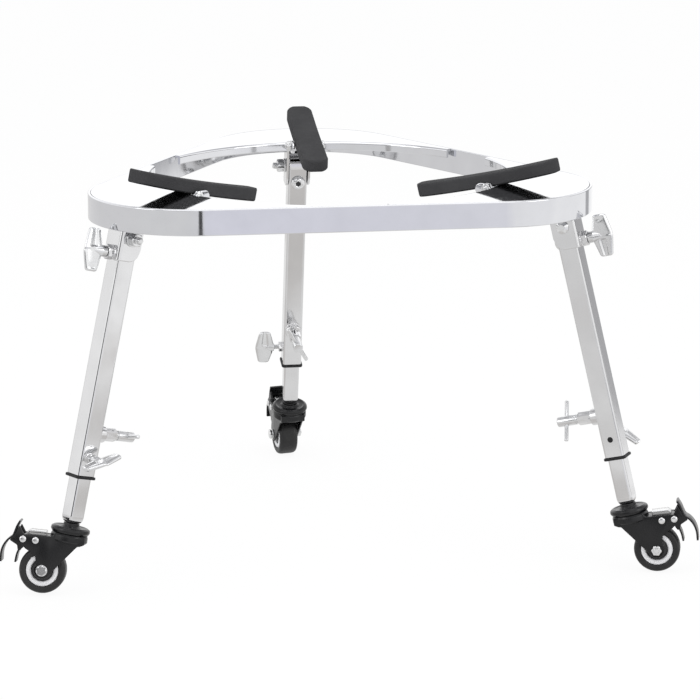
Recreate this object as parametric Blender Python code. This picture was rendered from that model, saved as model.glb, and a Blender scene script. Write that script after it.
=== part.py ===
"""Rolling conga stand: a rounded-triangle ring on three folding, telescoping legs with braked casters.

The ring's centre axis is +Z. The legs stand at azimuths 90, 210 and 330 degrees. All lengths are metres.
"""
import math

import bmesh
import bpy
from mathutils import Matrix, Vector

MM = 0.001
GAP = 0.3 * MM

# Ring: a rounded triangle, measured to the outer face of its band.
RING_TOP = 415 * MM
CORNER_CENTRE = 184.5 * MM
CORNER_RADIUS = 113 * MM
CORNER_STEPS = 14
BAND_HEIGHT = 28 * MM
BAND_THICKNESS = 3 * MM
DRUM_CIRCLE = 198 * MM
PLATE_THICKNESS = 2.5 * MM
PLATE_HALF_ANGLE = math.radians(50.2)
PLATE_WING_STEPS = 3
LIP_DEPTH = 10 * MM
LIP_THICKNESS = 3 * MM

# Legs: square telescoping tubes that lean outward and fold inward.
LEG_AZIMUTHS = {"back": 90.0, "left": 210.0, "right": 330.0}
LEG_SPLAY = math.radians(13.8)
PIVOT_RADIUS = 274.5 * MM
PIVOT_HEIGHT = 375 * MM
OUTER_SIDE = 22 * MM
OUTER_WALL = 1.5 * MM
OUTER_LENGTH = 256.5 * MM
INNER_SIDE = 18 * MM
INNER_WALL = 1.5 * MM
INNER_SHOWN = 54 * MM
INNER_HIDDEN = 165 * MM
TUBE_CORNER = 2.5 * MM
COLLAR_THICKNESS = 3 * MM
COLLAR_SIDE = 25 * MM

# Bracket that carries the leg.
BRACKET_PLATE = 2.5 * MM
WEB_INSIDE = 11.5 * MM
WEB_THICKNESS = 3 * MM
BRACKET_FOOT = 24.5 * MM
PIVOT_BOLT_RADIUS = 4 * MM
CLAMP_DROP = 17.5 * MM

# Screws of the leg, as distances down the leg from its pivot.
T_SCREW_DROP = 211 * MM
WING_SCREW_DROP = 237 * MM
SCREW_RADIUS = 4 * MM
SIDE_SCREW_RADIUS = 3 * MM
WING_SPAN = 46 * MM
WING_THICKNESS = 5.4 * MM
SIDE_WING_SCALE = 0.9

# How far each leg's screws are turned, in degrees, in the pose as photographed.
CLAMP_TURN = {"back": 0, "left": 9, "right": 0}
HEIGHT_TURN = {"back": 30, "left": 80, "right": 36}
WING_TURN = {"back": 80, "left": 25, "right": 47}

# Casters.
CASTER_TRAIL = 21 * MM
CASTER_DROP = 55 * MM
WHEEL_RADIUS = 25 * MM
WHEEL_WIDTH = 22 * MM
TREAD_WIDTH = 15 * MM
RIM_RADIUS = 17.5 * MM
WHEEL_SEGMENTS = 20
HUB_SEGMENTS = 13
FORK_OUTSIDE = 14.5 * MM
FORK_INSIDE = 12.5 * MM
CASTER_SWIVEL = {"back": 7.0, "left": -41.0, "right": 15.0}
BRAKE_PIVOT = Vector((46.7 * MM, 0, -25.5 * MM))
SPRING_RIVET = Vector((33.2 * MM, 0, -24.5 * MM))

# Drum pads.
PAD_PIVOT_RADIUS = 190.5 * MM
PAD_PIVOT_HEIGHT = 412.8 * MM
PAD_SLOPE = math.radians(13.3)
PAD_BEND = math.radians(1.6)
PAD_LENGTH = 165 * MM
PAD_WIDTH = 29 * MM
PAD_THICKNESS = 14 * MM
PAD_END_RADIUS = 12.5 * MM
PAD_CENTRE_SHIFT = -4.5 * MM
PAD_RISE = 8.8 * MM
EAR_GAP = 0.8 * MM
EAR_THICKNESS = 2.5 * MM

# The side of each pad that its nut is on, along the pivot: 1 is ahead in azimuth, -1 behind.
PAD_NUT_SIDE = {"back": 1, "left": -1, "right": -1}

CHROME = ((0.86, 0.87, 0.89), 0.06, 1.0)
ZINC = ((0.80, 0.81, 0.82), 0.22, 1.0)
BLACK_STEEL = ((0.035, 0.035, 0.04), 0.3, 0.0)
BLACK_PLASTIC = ((0.02, 0.02, 0.022), 0.45, 0.0)
RUBBER = ((0.055, 0.055, 0.058), 0.75, 0.0)
TYRE_RUBBER = ((0.045, 0.045, 0.047), 0.6, 0.0)
HUB_GREY = ((0.62, 0.62, 0.63), 0.4, 0.0)


def make_material(name, finish):
    """A Principled material of the given colour, roughness and metallic value."""
    colour, roughness, metallic = finish
    material = bpy.data.materials.new(name)
    material.use_nodes = True
    shader = material.node_tree.nodes["Principled BSDF"]
    shader.inputs["Base Color"].default_value = (*colour, 1.0)
    shader.inputs["Roughness"].default_value = roughness
    shader.inputs["Metallic"].default_value = metallic
    return material


def add_empty(name, matrix, parent=None):
    """An empty that carries pieces; its matrix is relative to its parent."""
    empty = bpy.data.objects.new(name, None)
    empty.empty_display_size = 0.02
    bpy.context.scene.collection.objects.link(empty)
    empty.parent = parent
    empty.matrix_local = matrix
    return empty


def add_piece(name, bm, finish, parent, matrix=None, smooth_angle=35):
    """Turns a bmesh into a named object with its own material, under the given parent."""
    bmesh.ops.remove_doubles(bm, verts=bm.verts, dist=1e-6)
    bmesh.ops.dissolve_degenerate(bm, edges=bm.edges, dist=1e-7)
    bmesh.ops.recalc_face_normals(bm, faces=bm.faces)
    mesh = bpy.data.meshes.new(name)
    bm.to_mesh(mesh)
    bm.free()
    mesh.shade_smooth()
    mesh.set_sharp_from_angle(angle=math.radians(smooth_angle))
    piece = bpy.data.objects.new(name, mesh)
    bpy.context.scene.collection.objects.link(piece)
    piece.parent = parent
    piece.matrix_local = matrix or Matrix.Identity(4)
    piece.data.materials.append(make_material(name, finish))
    return piece


def combine(piece, bm, operation, label):
    """Adds a hidden tool in the piece's own frame and unites it with, or cuts it from, the piece."""
    bmesh.ops.recalc_face_normals(bm, faces=bm.faces)
    mesh = bpy.data.meshes.new(f"{piece.name}_{label}")
    bm.to_mesh(mesh)
    bm.free()
    tool = bpy.data.objects.new(mesh.name, mesh)
    bpy.context.scene.collection.objects.link(tool)
    tool.parent = piece
    tool.hide_render = True
    tool.display_type = "WIRE"
    modifier = piece.modifiers.new(label, "BOOLEAN")
    modifier.operation = operation
    modifier.solver = "EXACT"
    modifier.object = tool


def cut(piece, bm, label):
    """Cuts a bmesh out of a piece."""
    combine(piece, bm, "DIFFERENCE", label)


def unite(piece, bm, label):
    """Unites a bmesh with a piece."""
    combine(piece, bm, "UNION", label)


def turn_z_to(direction):
    """The rotation that turns +Z to a direction."""
    return Vector((0, 0, 1)).rotation_difference(Vector(direction)).to_matrix().to_4x4()


def rod(start, direction, radius, length, sides=10, spin=0.0):
    """A straight cylinder from a start point along a direction."""
    bm = bmesh.new()
    bmesh.ops.create_cone(bm, cap_ends=True, segments=sides, radius1=radius, radius2=radius, depth=length)
    place = Matrix.Translation(Vector(start)) @ turn_z_to(direction) @ Matrix.Rotation(spin, 4, "Z")
    bmesh.ops.transform(bm, matrix=place @ Matrix.Translation((0, 0, length / 2)), verts=bm.verts)
    return bm


def hex_nut(start, direction, across_flats, length, spin=0.0):
    """A plain hexagonal prism, given its size across flats."""
    return rod(start, direction, across_flats / math.sqrt(3), length, sides=6, spin=spin)


def lathe(profile, segments, direction=(0, 0, 1), start=(0, 0, 0)):
    """Spins a closed profile of (radius, height) points about an axis through the start point."""
    bm = bmesh.new()
    points = [bm.verts.new((radius, 0, height)) for radius, height in profile]
    edges = [bm.edges.new((points[i - 1], points[i])) for i in range(len(points))]
    bmesh.ops.spin(bm, geom=points + edges, cent=(0, 0, 0), axis=(0, 0, 1), angle=2 * math.pi,
                   steps=segments, use_duplicate=False)
    bmesh.ops.remove_doubles(bm, verts=bm.verts, dist=1e-6)
    bmesh.ops.dissolve_degenerate(bm, edges=bm.edges, dist=1e-7)
    axis_edges = [edge for edge in bm.edges if all(v.co.xy.length < 1e-6 for v in edge.verts)]
    bmesh.ops.delete(bm, geom=axis_edges, context="EDGES")
    place = Matrix.Translation(Vector(start)) @ turn_z_to(direction)
    bmesh.ops.transform(bm, matrix=place, verts=bm.verts)
    bmesh.ops.recalc_face_normals(bm, faces=bm.faces)
    return bm


def extrude_outline(points, low, high, plane="XZ"):
    """Extrudes a closed outline, drawn in the XZ or XY plane, between two levels of the third axis."""
    bm = bmesh.new()
    if plane == "XZ":
        corners = [bm.verts.new((x, low, z)) for x, z in points]
        step = Vector((0, high - low, 0))
    else:
        corners = [bm.verts.new((x, y, low)) for x, y in points]
        step = Vector((0, 0, high - low))
    face = bm.faces.new(corners)
    grown = bmesh.ops.extrude_face_region(bm, geom=[face])
    moved = [item for item in grown["geom"] if isinstance(item, bmesh.types.BMVert)]
    bmesh.ops.translate(bm, verts=moved, vec=step)
    bmesh.ops.recalc_face_normals(bm, faces=bm.faces)
    return bm


def box(low, high):
    """A box between two corners."""
    bm = bmesh.new()
    size = Vector(high) - Vector(low)
    centre = (Vector(high) + Vector(low)) / 2
    bmesh.ops.create_cube(bm, size=1, matrix=Matrix.Translation(centre) @ Matrix.Diagonal((*size, 1)))
    return bm


def arc(centre, radius, start, end, steps):
    """Points along an arc, with its angles in degrees."""
    points = []
    for i in range(steps + 1):
        angle = math.radians(start + (end - start) * i / steps)
        points.append((centre[0] + radius * math.cos(angle), centre[1] + radius * math.sin(angle)))
    return points


def ribbon(path, thickness):
    """The outline of a bent strip: a path and the same path moved sideways by the thickness."""
    offset = []
    for i, point in enumerate(path):
        before = Vector(path[max(i - 1, 0)])
        after = Vector(path[min(i + 1, len(path) - 1)])
        along = (after - before).normalized()
        offset.append((point[0] - along.y * thickness, point[1] + along.x * thickness))
    return list(path) + offset[::-1]


def square_loop(side, corner, steps):
    """The outline of a square with rounded corners."""
    inset = side / 2 - corner
    points = []
    for quarter in range(4):
        angle = 45 + 90 * quarter
        centre = (math.copysign(inset, math.cos(math.radians(angle))),
                  math.copysign(inset, math.sin(math.radians(angle))))
        points += arc(centre, corner, angle - 45, angle + 45, steps)
    return points


def loft(loops):
    """A closed solid through stacked loops of equal count, each a list of 3-D points, capped at both ends."""
    bm = bmesh.new()
    rings = [[bm.verts.new(point) for point in loop] for loop in loops]
    for lower, upper in zip(rings, rings[1:]):
        for i in range(len(lower)):
            bm.faces.new((lower[i - 1], lower[i], upper[i], upper[i - 1]))
    bm.faces.new(rings[0][::-1])
    bm.faces.new(rings[-1])
    bmesh.ops.recalc_face_normals(bm, faces=bm.faces)
    return bm


def square_bar(levels, steps=2):
    """A square bar with rounded corners, lofted through (height, side, corner) levels."""
    loops = []
    for height, side, corner in levels:
        loops.append([(x, y, height) for x, y in square_loop(side, corner, steps)])
    return loft(loops)


def ring_outline(inset):
    """The ring's rounded-triangle outline, moved inward by an inset."""
    points = []
    for azimuth in LEG_AZIMUTHS.values():
        angle = math.radians(azimuth)
        centre = (CORNER_CENTRE * math.cos(angle), CORNER_CENTRE * math.sin(angle))
        points += arc(centre, CORNER_RADIUS - inset, azimuth - 60, azimuth + 60, CORNER_STEPS)
    return points


def plate_edge(inset):
    """The outer edge of a corner plate about its own azimuth: the ring's corner arc and part of each side."""
    radius = CORNER_RADIUS - inset
    corner = arc((CORNER_CENTRE, 0), radius, -60, 60, CORNER_STEPS)
    apothem = CORNER_CENTRE / 2 + radius
    tangent = math.atan2(corner[-1][1], corner[-1][0])
    side = []
    for i in range(1, PLATE_WING_STEPS + 1):
        angle = tangent + (PLATE_HALF_ANGLE - tangent) * i / PLATE_WING_STEPS
        reach = apothem / math.cos(math.pi / 3 - angle)
        side.append((reach * math.cos(angle), reach * math.sin(angle)))
    return [(x, -y) for x, y in side[::-1]] + corner + side


def make_ring_band(parent):
    """The hoop of flat bar, with its outer edges eased."""
    bm = bmesh.new()
    low = RING_TOP - BAND_HEIGHT
    edges = []
    for inset in (0.0, BAND_THICKNESS):
        loop = [bm.verts.new((x, y, low)) for x, y in ring_outline(inset)]
        edges += [bm.edges.new((loop[i - 1], loop[i])) for i in range(len(loop))]
    faces = bmesh.ops.bridge_loops(bm, edges=edges)["faces"]
    grown = bmesh.ops.extrude_face_region(bm, geom=faces)
    moved = [item for item in grown["geom"] if isinstance(item, bmesh.types.BMVert)]
    bmesh.ops.translate(bm, verts=moved, vec=(0, 0, BAND_HEIGHT))
    bmesh.ops.recalc_face_normals(bm, faces=bm.faces)
    eased = [edge for edge in bm.edges if edge.is_manifold and edge.calc_face_angle(0) > 1.2
             and abs(edge.verts[0].co.z - edge.verts[1].co.z) < 1e-6]
    outer = [edge for edge in eased
             if any(face.normal.xy.dot(edge.verts[0].co.xy) > 0.5 * edge.verts[0].co.xy.length
                    for face in edge.link_faces)]
    bmesh.ops.bevel(bm, geom=outer, offset=0.9 * MM, offset_type="OFFSET", segments=1, affect="EDGES")
    return add_piece("ring_band", bm, CHROME, parent, smooth_angle=50)


def ear_outline():
    """The ear's side view about the pad's pivot: a lobe that reaches inward, and a root in the plate."""
    lobe = arc((-7.8 * MM, -1.6 * MM), 6.6 * MM, 78, 258, 7)
    root = [(0, -9.2 * MM), (9 * MM, -9.2 * MM), (9 * MM, 2.1 * MM), (5.6 * MM, 2.1 * MM), (3 * MM, 5.6 * MM)]
    return lobe + root


def make_corner_plate(name, parent, pad_frame_offset):
    """A crescent plate with a lip round the drum circle and two ears for the pad's pin."""
    loops = []
    for x, y in plate_edge(BAND_THICKNESS + GAP):
        angle = math.atan2(y, x)
        reach = math.hypot(x, y)
        section = [(DRUM_CIRCLE, 0), (reach, 0), (reach, -PLATE_THICKNESS),
                   (DRUM_CIRCLE + LIP_THICKNESS, -PLATE_THICKNESS),
                   (DRUM_CIRCLE + LIP_THICKNESS, -LIP_DEPTH), (DRUM_CIRCLE, -LIP_DEPTH)]
        loops.append([(r * math.cos(angle), r * math.sin(angle), RING_TOP + z) for r, z in section])
    plate = add_piece(name, loft(loops), CHROME, parent)
    ear_inside = PAD_WIDTH / 2 + EAR_GAP
    outline = [(x + pad_frame_offset.x, z + pad_frame_offset.z) for x, z in ear_outline()]
    for side, label in ((1, "ear_high"), (-1, "ear_low")):
        low, high = sorted((side * ear_inside, side * (ear_inside + EAR_THICKNESS)))
        unite(plate, extrude_outline(outline, low, high), label)
    cut(plate, rod(pad_frame_offset - Vector((0, 25 * MM, 0)), (0, 1, 0), 3.3 * MM, 50 * MM), "pin_hole")
    return plate


def bracket_top(x):
    """How high up the leg the bracket reaches at a distance x outward, to stop just under the level plate."""
    under_plate = RING_TOP - PLATE_THICKNESS - GAP - PIVOT_HEIGHT
    return (under_plate - x * math.sin(LEG_SPLAY)) / math.cos(LEG_SPLAY)


def make_bracket(name, parent):
    """The U-shaped saddle: two ears, a web on the outer side and a nut welded over the web's hole."""
    half = WEB_INSIDE + BRACKET_PLATE
    web_outside = WEB_INSIDE + WEB_THICKNESS
    inner_edge = -13 * MM
    round_foot = arc((inner_edge + 13 * MM, 13 * MM - BRACKET_FOOT), 13 * MM, 180, 270, 6)
    outline = [(inner_edge, bracket_top(inner_edge))] + round_foot
    outline += [(web_outside, -BRACKET_FOOT), (web_outside, bracket_top(web_outside))]
    bracket = add_piece(name, extrude_outline(outline, -half, half), CHROME, parent)
    cut(bracket, box((-40 * MM, -WEB_INSIDE, -60 * MM), (WEB_INSIDE, WEB_INSIDE, 60 * MM)), "channel")
    unite(bracket, hex_nut((web_outside - GAP, 0, -CLAMP_DROP), (1, 0, 0), 14 * MM, 7.5 * MM), "nut")
    cut(bracket, rod((0, 0, -CLAMP_DROP), (1, 0, 0), SCREW_RADIUS + GAP, 40 * MM), "clamp_hole")
    cut(bracket, rod((0, -30 * MM, 0), (0, 1, 0), PIVOT_BOLT_RADIUS + GAP, 60 * MM), "pivot_hole")
    return bracket


def make_outer_tube(name, parent):
    """The outer leg tube: nipped round at its top, with the nuts of its two screws welded on."""
    half = OUTER_SIDE / 2
    levels = [(-OUTER_LENGTH, OUTER_SIDE, TUBE_CORNER), (half, OUTER_SIDE, TUBE_CORNER)]
    tube = add_piece(name, square_bar(levels), CHROME, parent)
    bore = OUTER_SIDE - 2 * OUTER_WALL
    nut_start = half - GAP
    unite(tube, rod((-nut_start, 0, -T_SCREW_DROP), (-1, 0, 0), 9.4 * MM, 8 * MM, sides=12), "boss")
    long_nut = hex_nut((-nut_start - 7.8 * MM, 0, -T_SCREW_DROP), (-1, 0, 0), 12.4 * MM, 15.9 * MM)
    unite(tube, long_nut, "t_nut")
    unite(tube, hex_nut((0, nut_start, -WING_SCREW_DROP), (0, 1, 0), 10 * MM, 5.3 * MM), "wing_nut")
    hollow = square_bar([(-OUTER_LENGTH - 10 * MM, bore, MM), (half + 10 * MM, bore, MM)], steps=1)
    cut(tube, hollow, "hollow")
    around = [(-20 * MM, 0), (-20 * MM, 30 * MM), (20 * MM, 30 * MM), (20 * MM, 0)]
    nipped = arc((0, 0), half, 0, 180, 8) + around
    cut(tube, extrude_outline(nipped, -20 * MM, 20 * MM), "round_top")
    cut(tube, rod((0, -20 * MM, 0), (0, 1, 0), PIVOT_BOLT_RADIUS + GAP, 40 * MM), "pivot_hole")
    cut(tube, rod((-20 * MM, 0, -CLAMP_DROP), (1, 0, 0), 4.5 * MM, 40 * MM), "barrel_hole")
    cut(tube, rod((0, 0, -T_SCREW_DROP), (-1, 0, 0), SCREW_RADIUS + GAP, 40 * MM), "t_hole")
    cut(tube, rod((0, 0, -WING_SCREW_DROP), (0, 1, 0), SIDE_SCREW_RADIUS + GAP, 40 * MM), "wing_hole")
    cut(tube, rod((0, 0, -WING_SCREW_DROP), (0, -1, 0), 3 * MM, 20 * MM, sides=8), "sight_hole")
    return tube


def make_end_collar(name, parent):
    """The thin black collar that guides the inner tube."""
    low = -OUTER_LENGTH - GAP - COLLAR_THICKNESS
    high = -OUTER_LENGTH - GAP
    bm = square_bar([(low, COLLAR_SIDE, 2.6 * MM), (high, COLLAR_SIDE, 2.6 * MM)], steps=1)
    collar = add_piece(name, bm, BLACK_PLASTIC, parent)
    opening = INNER_SIDE + 0.8 * MM
    levels = [(low - MM, opening, 1.6 * MM), (high + MM, opening, 1.6 * MM)]
    cut(collar, square_bar(levels, steps=1), "opening")
    return collar


def make_inner_tube(name, parent, leg_end):
    """The inner leg tube: open at the top, with a forged, rounded end that takes the caster's stem."""
    low = -leg_end
    top = low + INNER_SHOWN + INNER_HIDDEN
    levels = [(low, 12.4 * MM, 3.4 * MM), (low + 1.4 * MM, 15.2 * MM, 3.4 * MM),
              (low + 4 * MM, 17.2 * MM, 3 * MM), (low + 8 * MM, INNER_SIDE, 2.2 * MM),
              (top, INNER_SIDE, 2.2 * MM)]
    tube = add_piece(name, square_bar(levels), CHROME, parent)
    bore = INNER_SIDE - 2 * INNER_WALL
    hollow = square_bar([(low + 18 * MM, bore, MM), (top + 10 * MM, bore, MM)], steps=1)
    cut(tube, hollow, "hollow")
    cut(tube, rod((0, 0, low - 5 * MM), (0, 0, 1), 5.3 * MM, 30 * MM), "stem_hole")
    return tube


def make_wing_screw(name, parent, matrix, levels, shank, scale=1.0):
    """A wing screw along +Z of its matrix: shank, tapered hub and two lobes along X.

    The levels are the heights at which the tip, the hub and the lobes start.
    Each lobe has a trough along one face, and the two troughs are on opposite faces.
    """
    tip, hub_start, lobe_start = levels
    thickness = WING_THICKNESS * scale
    half = WING_SPAN / 2
    side = [(0, 21.5 * MM), (17 * MM, 18.4 * MM), (half, 15.2 * MM), (half, 9.6 * MM), (17.5 * MM, 5.2 * MM),
            (6 * MM, -0.8 * MM)]
    side += [(-x, z) for x, z in side[:0:-1]]
    outline = [(x * scale, lobe_start + z * scale) for x, z in side]
    lobes = extrude_outline(outline, -thickness / 2, thickness / 2)
    rims = [edge for edge in lobes.edges if abs(edge.verts[0].co.y - edge.verts[1].co.y) < 1e-6]
    bmesh.ops.bevel(lobes, geom=rims, offset=1.3 * MM * scale, offset_type="OFFSET", segments=1,
                    affect="EDGES")
    screw = add_piece(name, lobes, ZINC, parent, matrix)
    for way, label in ((1, "trough_high"), (-1, "trough_low")):
        start = (way * 5 * MM * scale, -way * (thickness / 2 + 1.4 * MM), lobe_start + 11 * MM * scale)
        cut(screw, rod(start, (way, 0, 0.1), 3.2 * MM, 24 * MM, sides=8), label)
    hub_radius = shank + 2.2 * MM * scale
    hub = [(0, tip), (shank, tip), (shank, hub_start), (hub_radius, hub_start),
           (hub_radius - 0.3 * MM, lobe_start), (thickness / 2 + 0.9 * MM, lobe_start + 15 * MM * scale),
           (0, lobe_start + 15 * MM * scale)]
    unite(screw, lathe(hub, 8), "hub")
    return screw


def make_t_screw(name, parent, matrix, bar_angle):
    """The T-handle height screw along +Z: shank, collar, head and a cross bar."""
    tip = INNER_SIDE / 2 + GAP
    collar_start = 34.7 * MM
    head_start = 36.7 * MM
    head_end = 58 * MM
    bar_level = 48.6 * MM
    profile = [(0, tip), (SCREW_RADIUS, tip), (SCREW_RADIUS, collar_start), (4.9 * MM, collar_start),
               (4.9 * MM, head_start), (5.6 * MM, head_start), (5.6 * MM, head_end - 1.2 * MM),
               (4.2 * MM, head_end), (0, head_end)]
    screw = add_piece(name, lathe(profile, 12), ZINC, parent, matrix)
    along = Vector((math.cos(bar_angle), math.sin(bar_angle), 0))
    half = 23.8 * MM
    bar = rod(Vector((0, 0, bar_level)) - along * half, along, 2.3 * MM, 2 * half, sides=8)
    unite(screw, bar, "bar")
    return screw


def make_barrel(name, parent, matrix):
    """The button-head barrel screw through the leg, with a hex socket, along +Z inward."""
    head = OUTER_SIDE / 2 + GAP
    profile = [(0, -head + 0.5 * MM), (4 * MM, -head + 0.5 * MM), (4 * MM, head), (8.2 * MM, head),
               (8 * MM, head + 1.5 * MM), (5.5 * MM, head + 4.8 * MM), (0, head + 4.8 * MM)]
    barrel = add_piece(name, lathe(profile, 12), ZINC, parent, matrix)
    cut(barrel, hex_nut((0, 0, head + 1.6 * MM), (0, 0, 1), 5.6 * MM, 8 * MM), "socket")
    return barrel


def make_pivot_bolt(name, parent):
    """The bolt a leg folds on, along +Y: low round head, shank, washer, tightened nut and rounded tip."""
    face = WEB_INSIDE + BRACKET_PLATE + GAP
    profile = [(0, -face - 3.2 * MM), (5 * MM, -face - 3.2 * MM), (7 * MM, -face - 1.4 * MM), (7 * MM, -face),
               (PIVOT_BOLT_RADIUS, -face), (PIVOT_BOLT_RADIUS, face), (8.2 * MM, face),
               (8.2 * MM, face + 1.8 * MM), (PIVOT_BOLT_RADIUS, face + 1.8 * MM),
               (PIVOT_BOLT_RADIUS, face + 13 * MM), (2.6 * MM, face + 15 * MM), (0, face + 15 * MM)]
    bolt = add_piece(name, lathe(profile, 10, (0, 1, 0)), ZINC, parent)
    unite(bolt, hex_nut((0, face + 1.5 * MM, 0), (0, 1, 0), 13 * MM, 8 * MM), "nut")
    return bolt


def make_caster_stem(name, parent):
    """The caster's stem, lock nut, raceway disc and kingpin, turned about the swivel axis."""
    profile = [(0, 12 * MM), (4.6 * MM, 12 * MM), (4.6 * MM, -GAP), (8.6 * MM, -GAP), (8.6 * MM, -3.5 * MM),
               (12 * MM, -5 * MM), (16.5 * MM, -4.4 * MM), (21 * MM, -8.2 * MM), (18.5 * MM, -11.2 * MM),
               (4 * MM, -11.2 * MM), (4 * MM, -20.9 * MM), (7 * MM, -20.9 * MM), (6 * MM, -22.6 * MM),
               (0, -22.6 * MM)]
    return add_piece(name, lathe(profile, 13), BLACK_STEEL, parent, smooth_angle=30)


def fork_outline():
    """The side view of the fork's cheek: crown, brake shoulder, round lobe at the axle, straight front."""
    lobe = arc((CASTER_TRAIL, -CASTER_DROP), 8.5 * MM, 38, -152, 6)
    crown = [(-18 * MM, -12 * MM), (14 * MM, -12 * MM), (16 * MM, -17 * MM), (42 * MM, -19.5 * MM)]
    shoulder = [(49 * MM, -20.8 * MM), (51 * MM, -25 * MM), (48.5 * MM, -31 * MM), (42 * MM, -35.5 * MM),
                (31.5 * MM, -39.5 * MM)]
    front = [(-11.5 * MM, -23 * MM), (-14 * MM, -22.6 * MM), (-18.5 * MM, -20 * MM)]
    return crown + shoulder + lobe + front


def make_fork(name, parent):
    """The pressed fork: two cheeks, a roof between them and a round crown under the raceway."""
    fork = add_piece(name, extrude_outline(fork_outline(), -FORK_OUTSIDE, FORK_OUTSIDE), BLACK_STEEL, parent)
    crown = lathe([(0, -11.6 * MM), (19 * MM, -11.6 * MM), (20 * MM, -20.6 * MM), (0, -20.6 * MM)], 14)
    unite(fork, crown, "crown")
    below = [(-30 * MM, -20.5 * MM), (12 * MM, -20.5 * MM), (42.5 * MM, -21.6 * MM), (42.5 * MM, -15 * MM),
             (60 * MM, -15 * MM), (60 * MM, -80 * MM), (-30 * MM, -80 * MM)]
    cut(fork, extrude_outline(below, -FORK_INSIDE, FORK_INSIDE), "wheel_space")
    cut(fork, rod((0, 0, -30 * MM), (0, 0, 1), 4.6 * MM, 30 * MM), "kingpin_hole")
    axle = Vector((CASTER_TRAIL, -25 * MM, -CASTER_DROP))
    cut(fork, rod(axle, (0, 1, 0), 3.3 * MM, 50 * MM), "axle_hole")
    for centre, label in ((BRAKE_PIVOT, "brake_hole"), (SPRING_RIVET, "spring_hole")):
        cut(fork, rod(centre - Vector((0, 25 * MM, 0)), (0, 1, 0), 2.9 * MM, 50 * MM, sides=8), label)
    return fork


def rivet(centre):
    """A rivet across the fork along Y, with a low round head outside each cheek."""
    face = FORK_OUTSIDE + GAP
    half = [(2.5 * MM, face), (3.4 * MM, face), (3 * MM, face + 1.2 * MM), (0, face + 1.4 * MM)]
    profile = half + [(radius, -height) for radius, height in reversed(half)]
    return lathe(profile, 8, (0, 1, 0), centre)


def make_brake_spring(name, parent):
    """The bright leaf spring, bent over the fork's roof and held under it by a rivet."""
    path = [(23.5 * MM, -17 * MM), (24 * MM, -13.6 * MM), (41.8 * MM, -15.2 * MM), (44.4 * MM, -18 * MM),
            (44.3 * MM, -22.6 * MM), (42.4 * MM, -24.2 * MM), (38 * MM, -24.8 * MM), (33.2 * MM, -25 * MM)]
    spring = add_piece(name, extrude_outline(ribbon(path, -1.2 * MM), -8 * MM, 8 * MM), ZINC, parent)
    unite(spring, rivet(SPRING_RIVET), "rivet")
    return spring


def at_brake_pivot(points):
    """Points given in millimetres in the caster's frame, as metres about the brake's pivot."""
    return [(x * MM - BRAKE_PIVOT.x, z * MM - BRAKE_PIVOT.z) for x, z in points]


def make_brake_lever(name, parent):
    """The foot lever with its cheeks, shoe tongue and pivot pin, in a frame on the brake's pivot."""
    width = 11.2 * MM
    pedal = at_brake_pivot([(52.5, -8.5), (55.5, -19), (57, -25.5), (61.5, -29.5), (65, -36), (66.3, -44),
                            (65.5, -54)])
    lever = add_piece(name, extrude_outline(ribbon(pedal, 2.2 * MM), -width, width), BLACK_STEEL, parent,
                      Matrix.Translation(BRAKE_PIVOT), smooth_angle=40)
    cheek = at_brake_pivot([(43.2, -24), (44, -21.8), (47, -20.5), (53.5, -13), (57.5, -25), (61, -29),
                            (52, -33.5), (50.5, -38.5), (47.5, -38.5), (44.5, -32), (43.2, -28)])
    for side, label in ((1, "cheek_high"), (-1, "cheek_low")):
        low, high = sorted((side * 8.8 * MM, side * (width - 0.1 * MM)))
        unite(lever, extrude_outline(cheek, low, high), label)
    tongue = at_brake_pivot([(49.6, -35), (52, -43), (51.8, -52)])
    unite(lever, extrude_outline(ribbon(tongue, -1.8 * MM), -9.5 * MM, 9.5 * MM), "tongue")
    unite(lever, rivet((0, 0, 0)), "pin")
    return lever


def make_axle_bolt(name, parent, matrix):
    """The axle bolt along +Z, with its hex head and nut outside the fork."""
    face = FORK_OUTSIDE + GAP
    bm = rod((0, 0, -face - 6 * MM), (0, 0, 1), 3 * MM, 2 * face + 6.5 * MM)
    bolt = add_piece(name, bm, ZINC, parent, matrix)
    head = hex_nut((0, 0, face), (0, 0, 1), 10 * MM, 4.2 * MM, spin=math.radians(15))
    crown = [vert for vert in head.verts if vert.co.z > face + MM]
    top = [side for side in head.faces if all(vert in crown for vert in side.verts)]
    bmesh.ops.inset_region(head, faces=top, thickness=0.9 * MM, depth=0.0)
    unite(bolt, head, "head")
    unite(bolt, hex_nut((0, 0, -face - 5 * MM), (0, 0, 1), 10 * MM, 5 * MM), "nut")
    return bolt


def make_tyre(name, parent, matrix):
    """The tyre, turned about +Z, with a flat tread and round shoulders."""
    half = WHEEL_WIDTH / 2
    tread = TREAD_WIDTH / 2
    side = [(RIM_RADIUS, half - MM), (22.4 * MM, half), (24.3 * MM, half - 1.2 * MM), (WHEEL_RADIUS, tread)]
    profile = side + [(radius, -height) for radius, height in reversed(side)]
    return add_piece(name, lathe(profile, WHEEL_SEGMENTS), TYRE_RUBBER, parent, matrix)


def make_hub(name, parent, matrix):
    """The wheel's hub: a pale rim ring each side, a recessed web and a boss on the axle."""
    side = [(3.4 * MM, 11.9 * MM), (6.2 * MM, 11.9 * MM), (6.8 * MM, 7.4 * MM), (11.2 * MM, 7.4 * MM),
            (12.4 * MM, 10.6 * MM), (RIM_RADIUS - 0.4 * MM, 9.8 * MM)]
    profile = side + [(radius, -height) for radius, height in reversed(side)]
    return add_piece(name, lathe(profile, HUB_SEGMENTS), HUB_GREY, parent, matrix)


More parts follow.
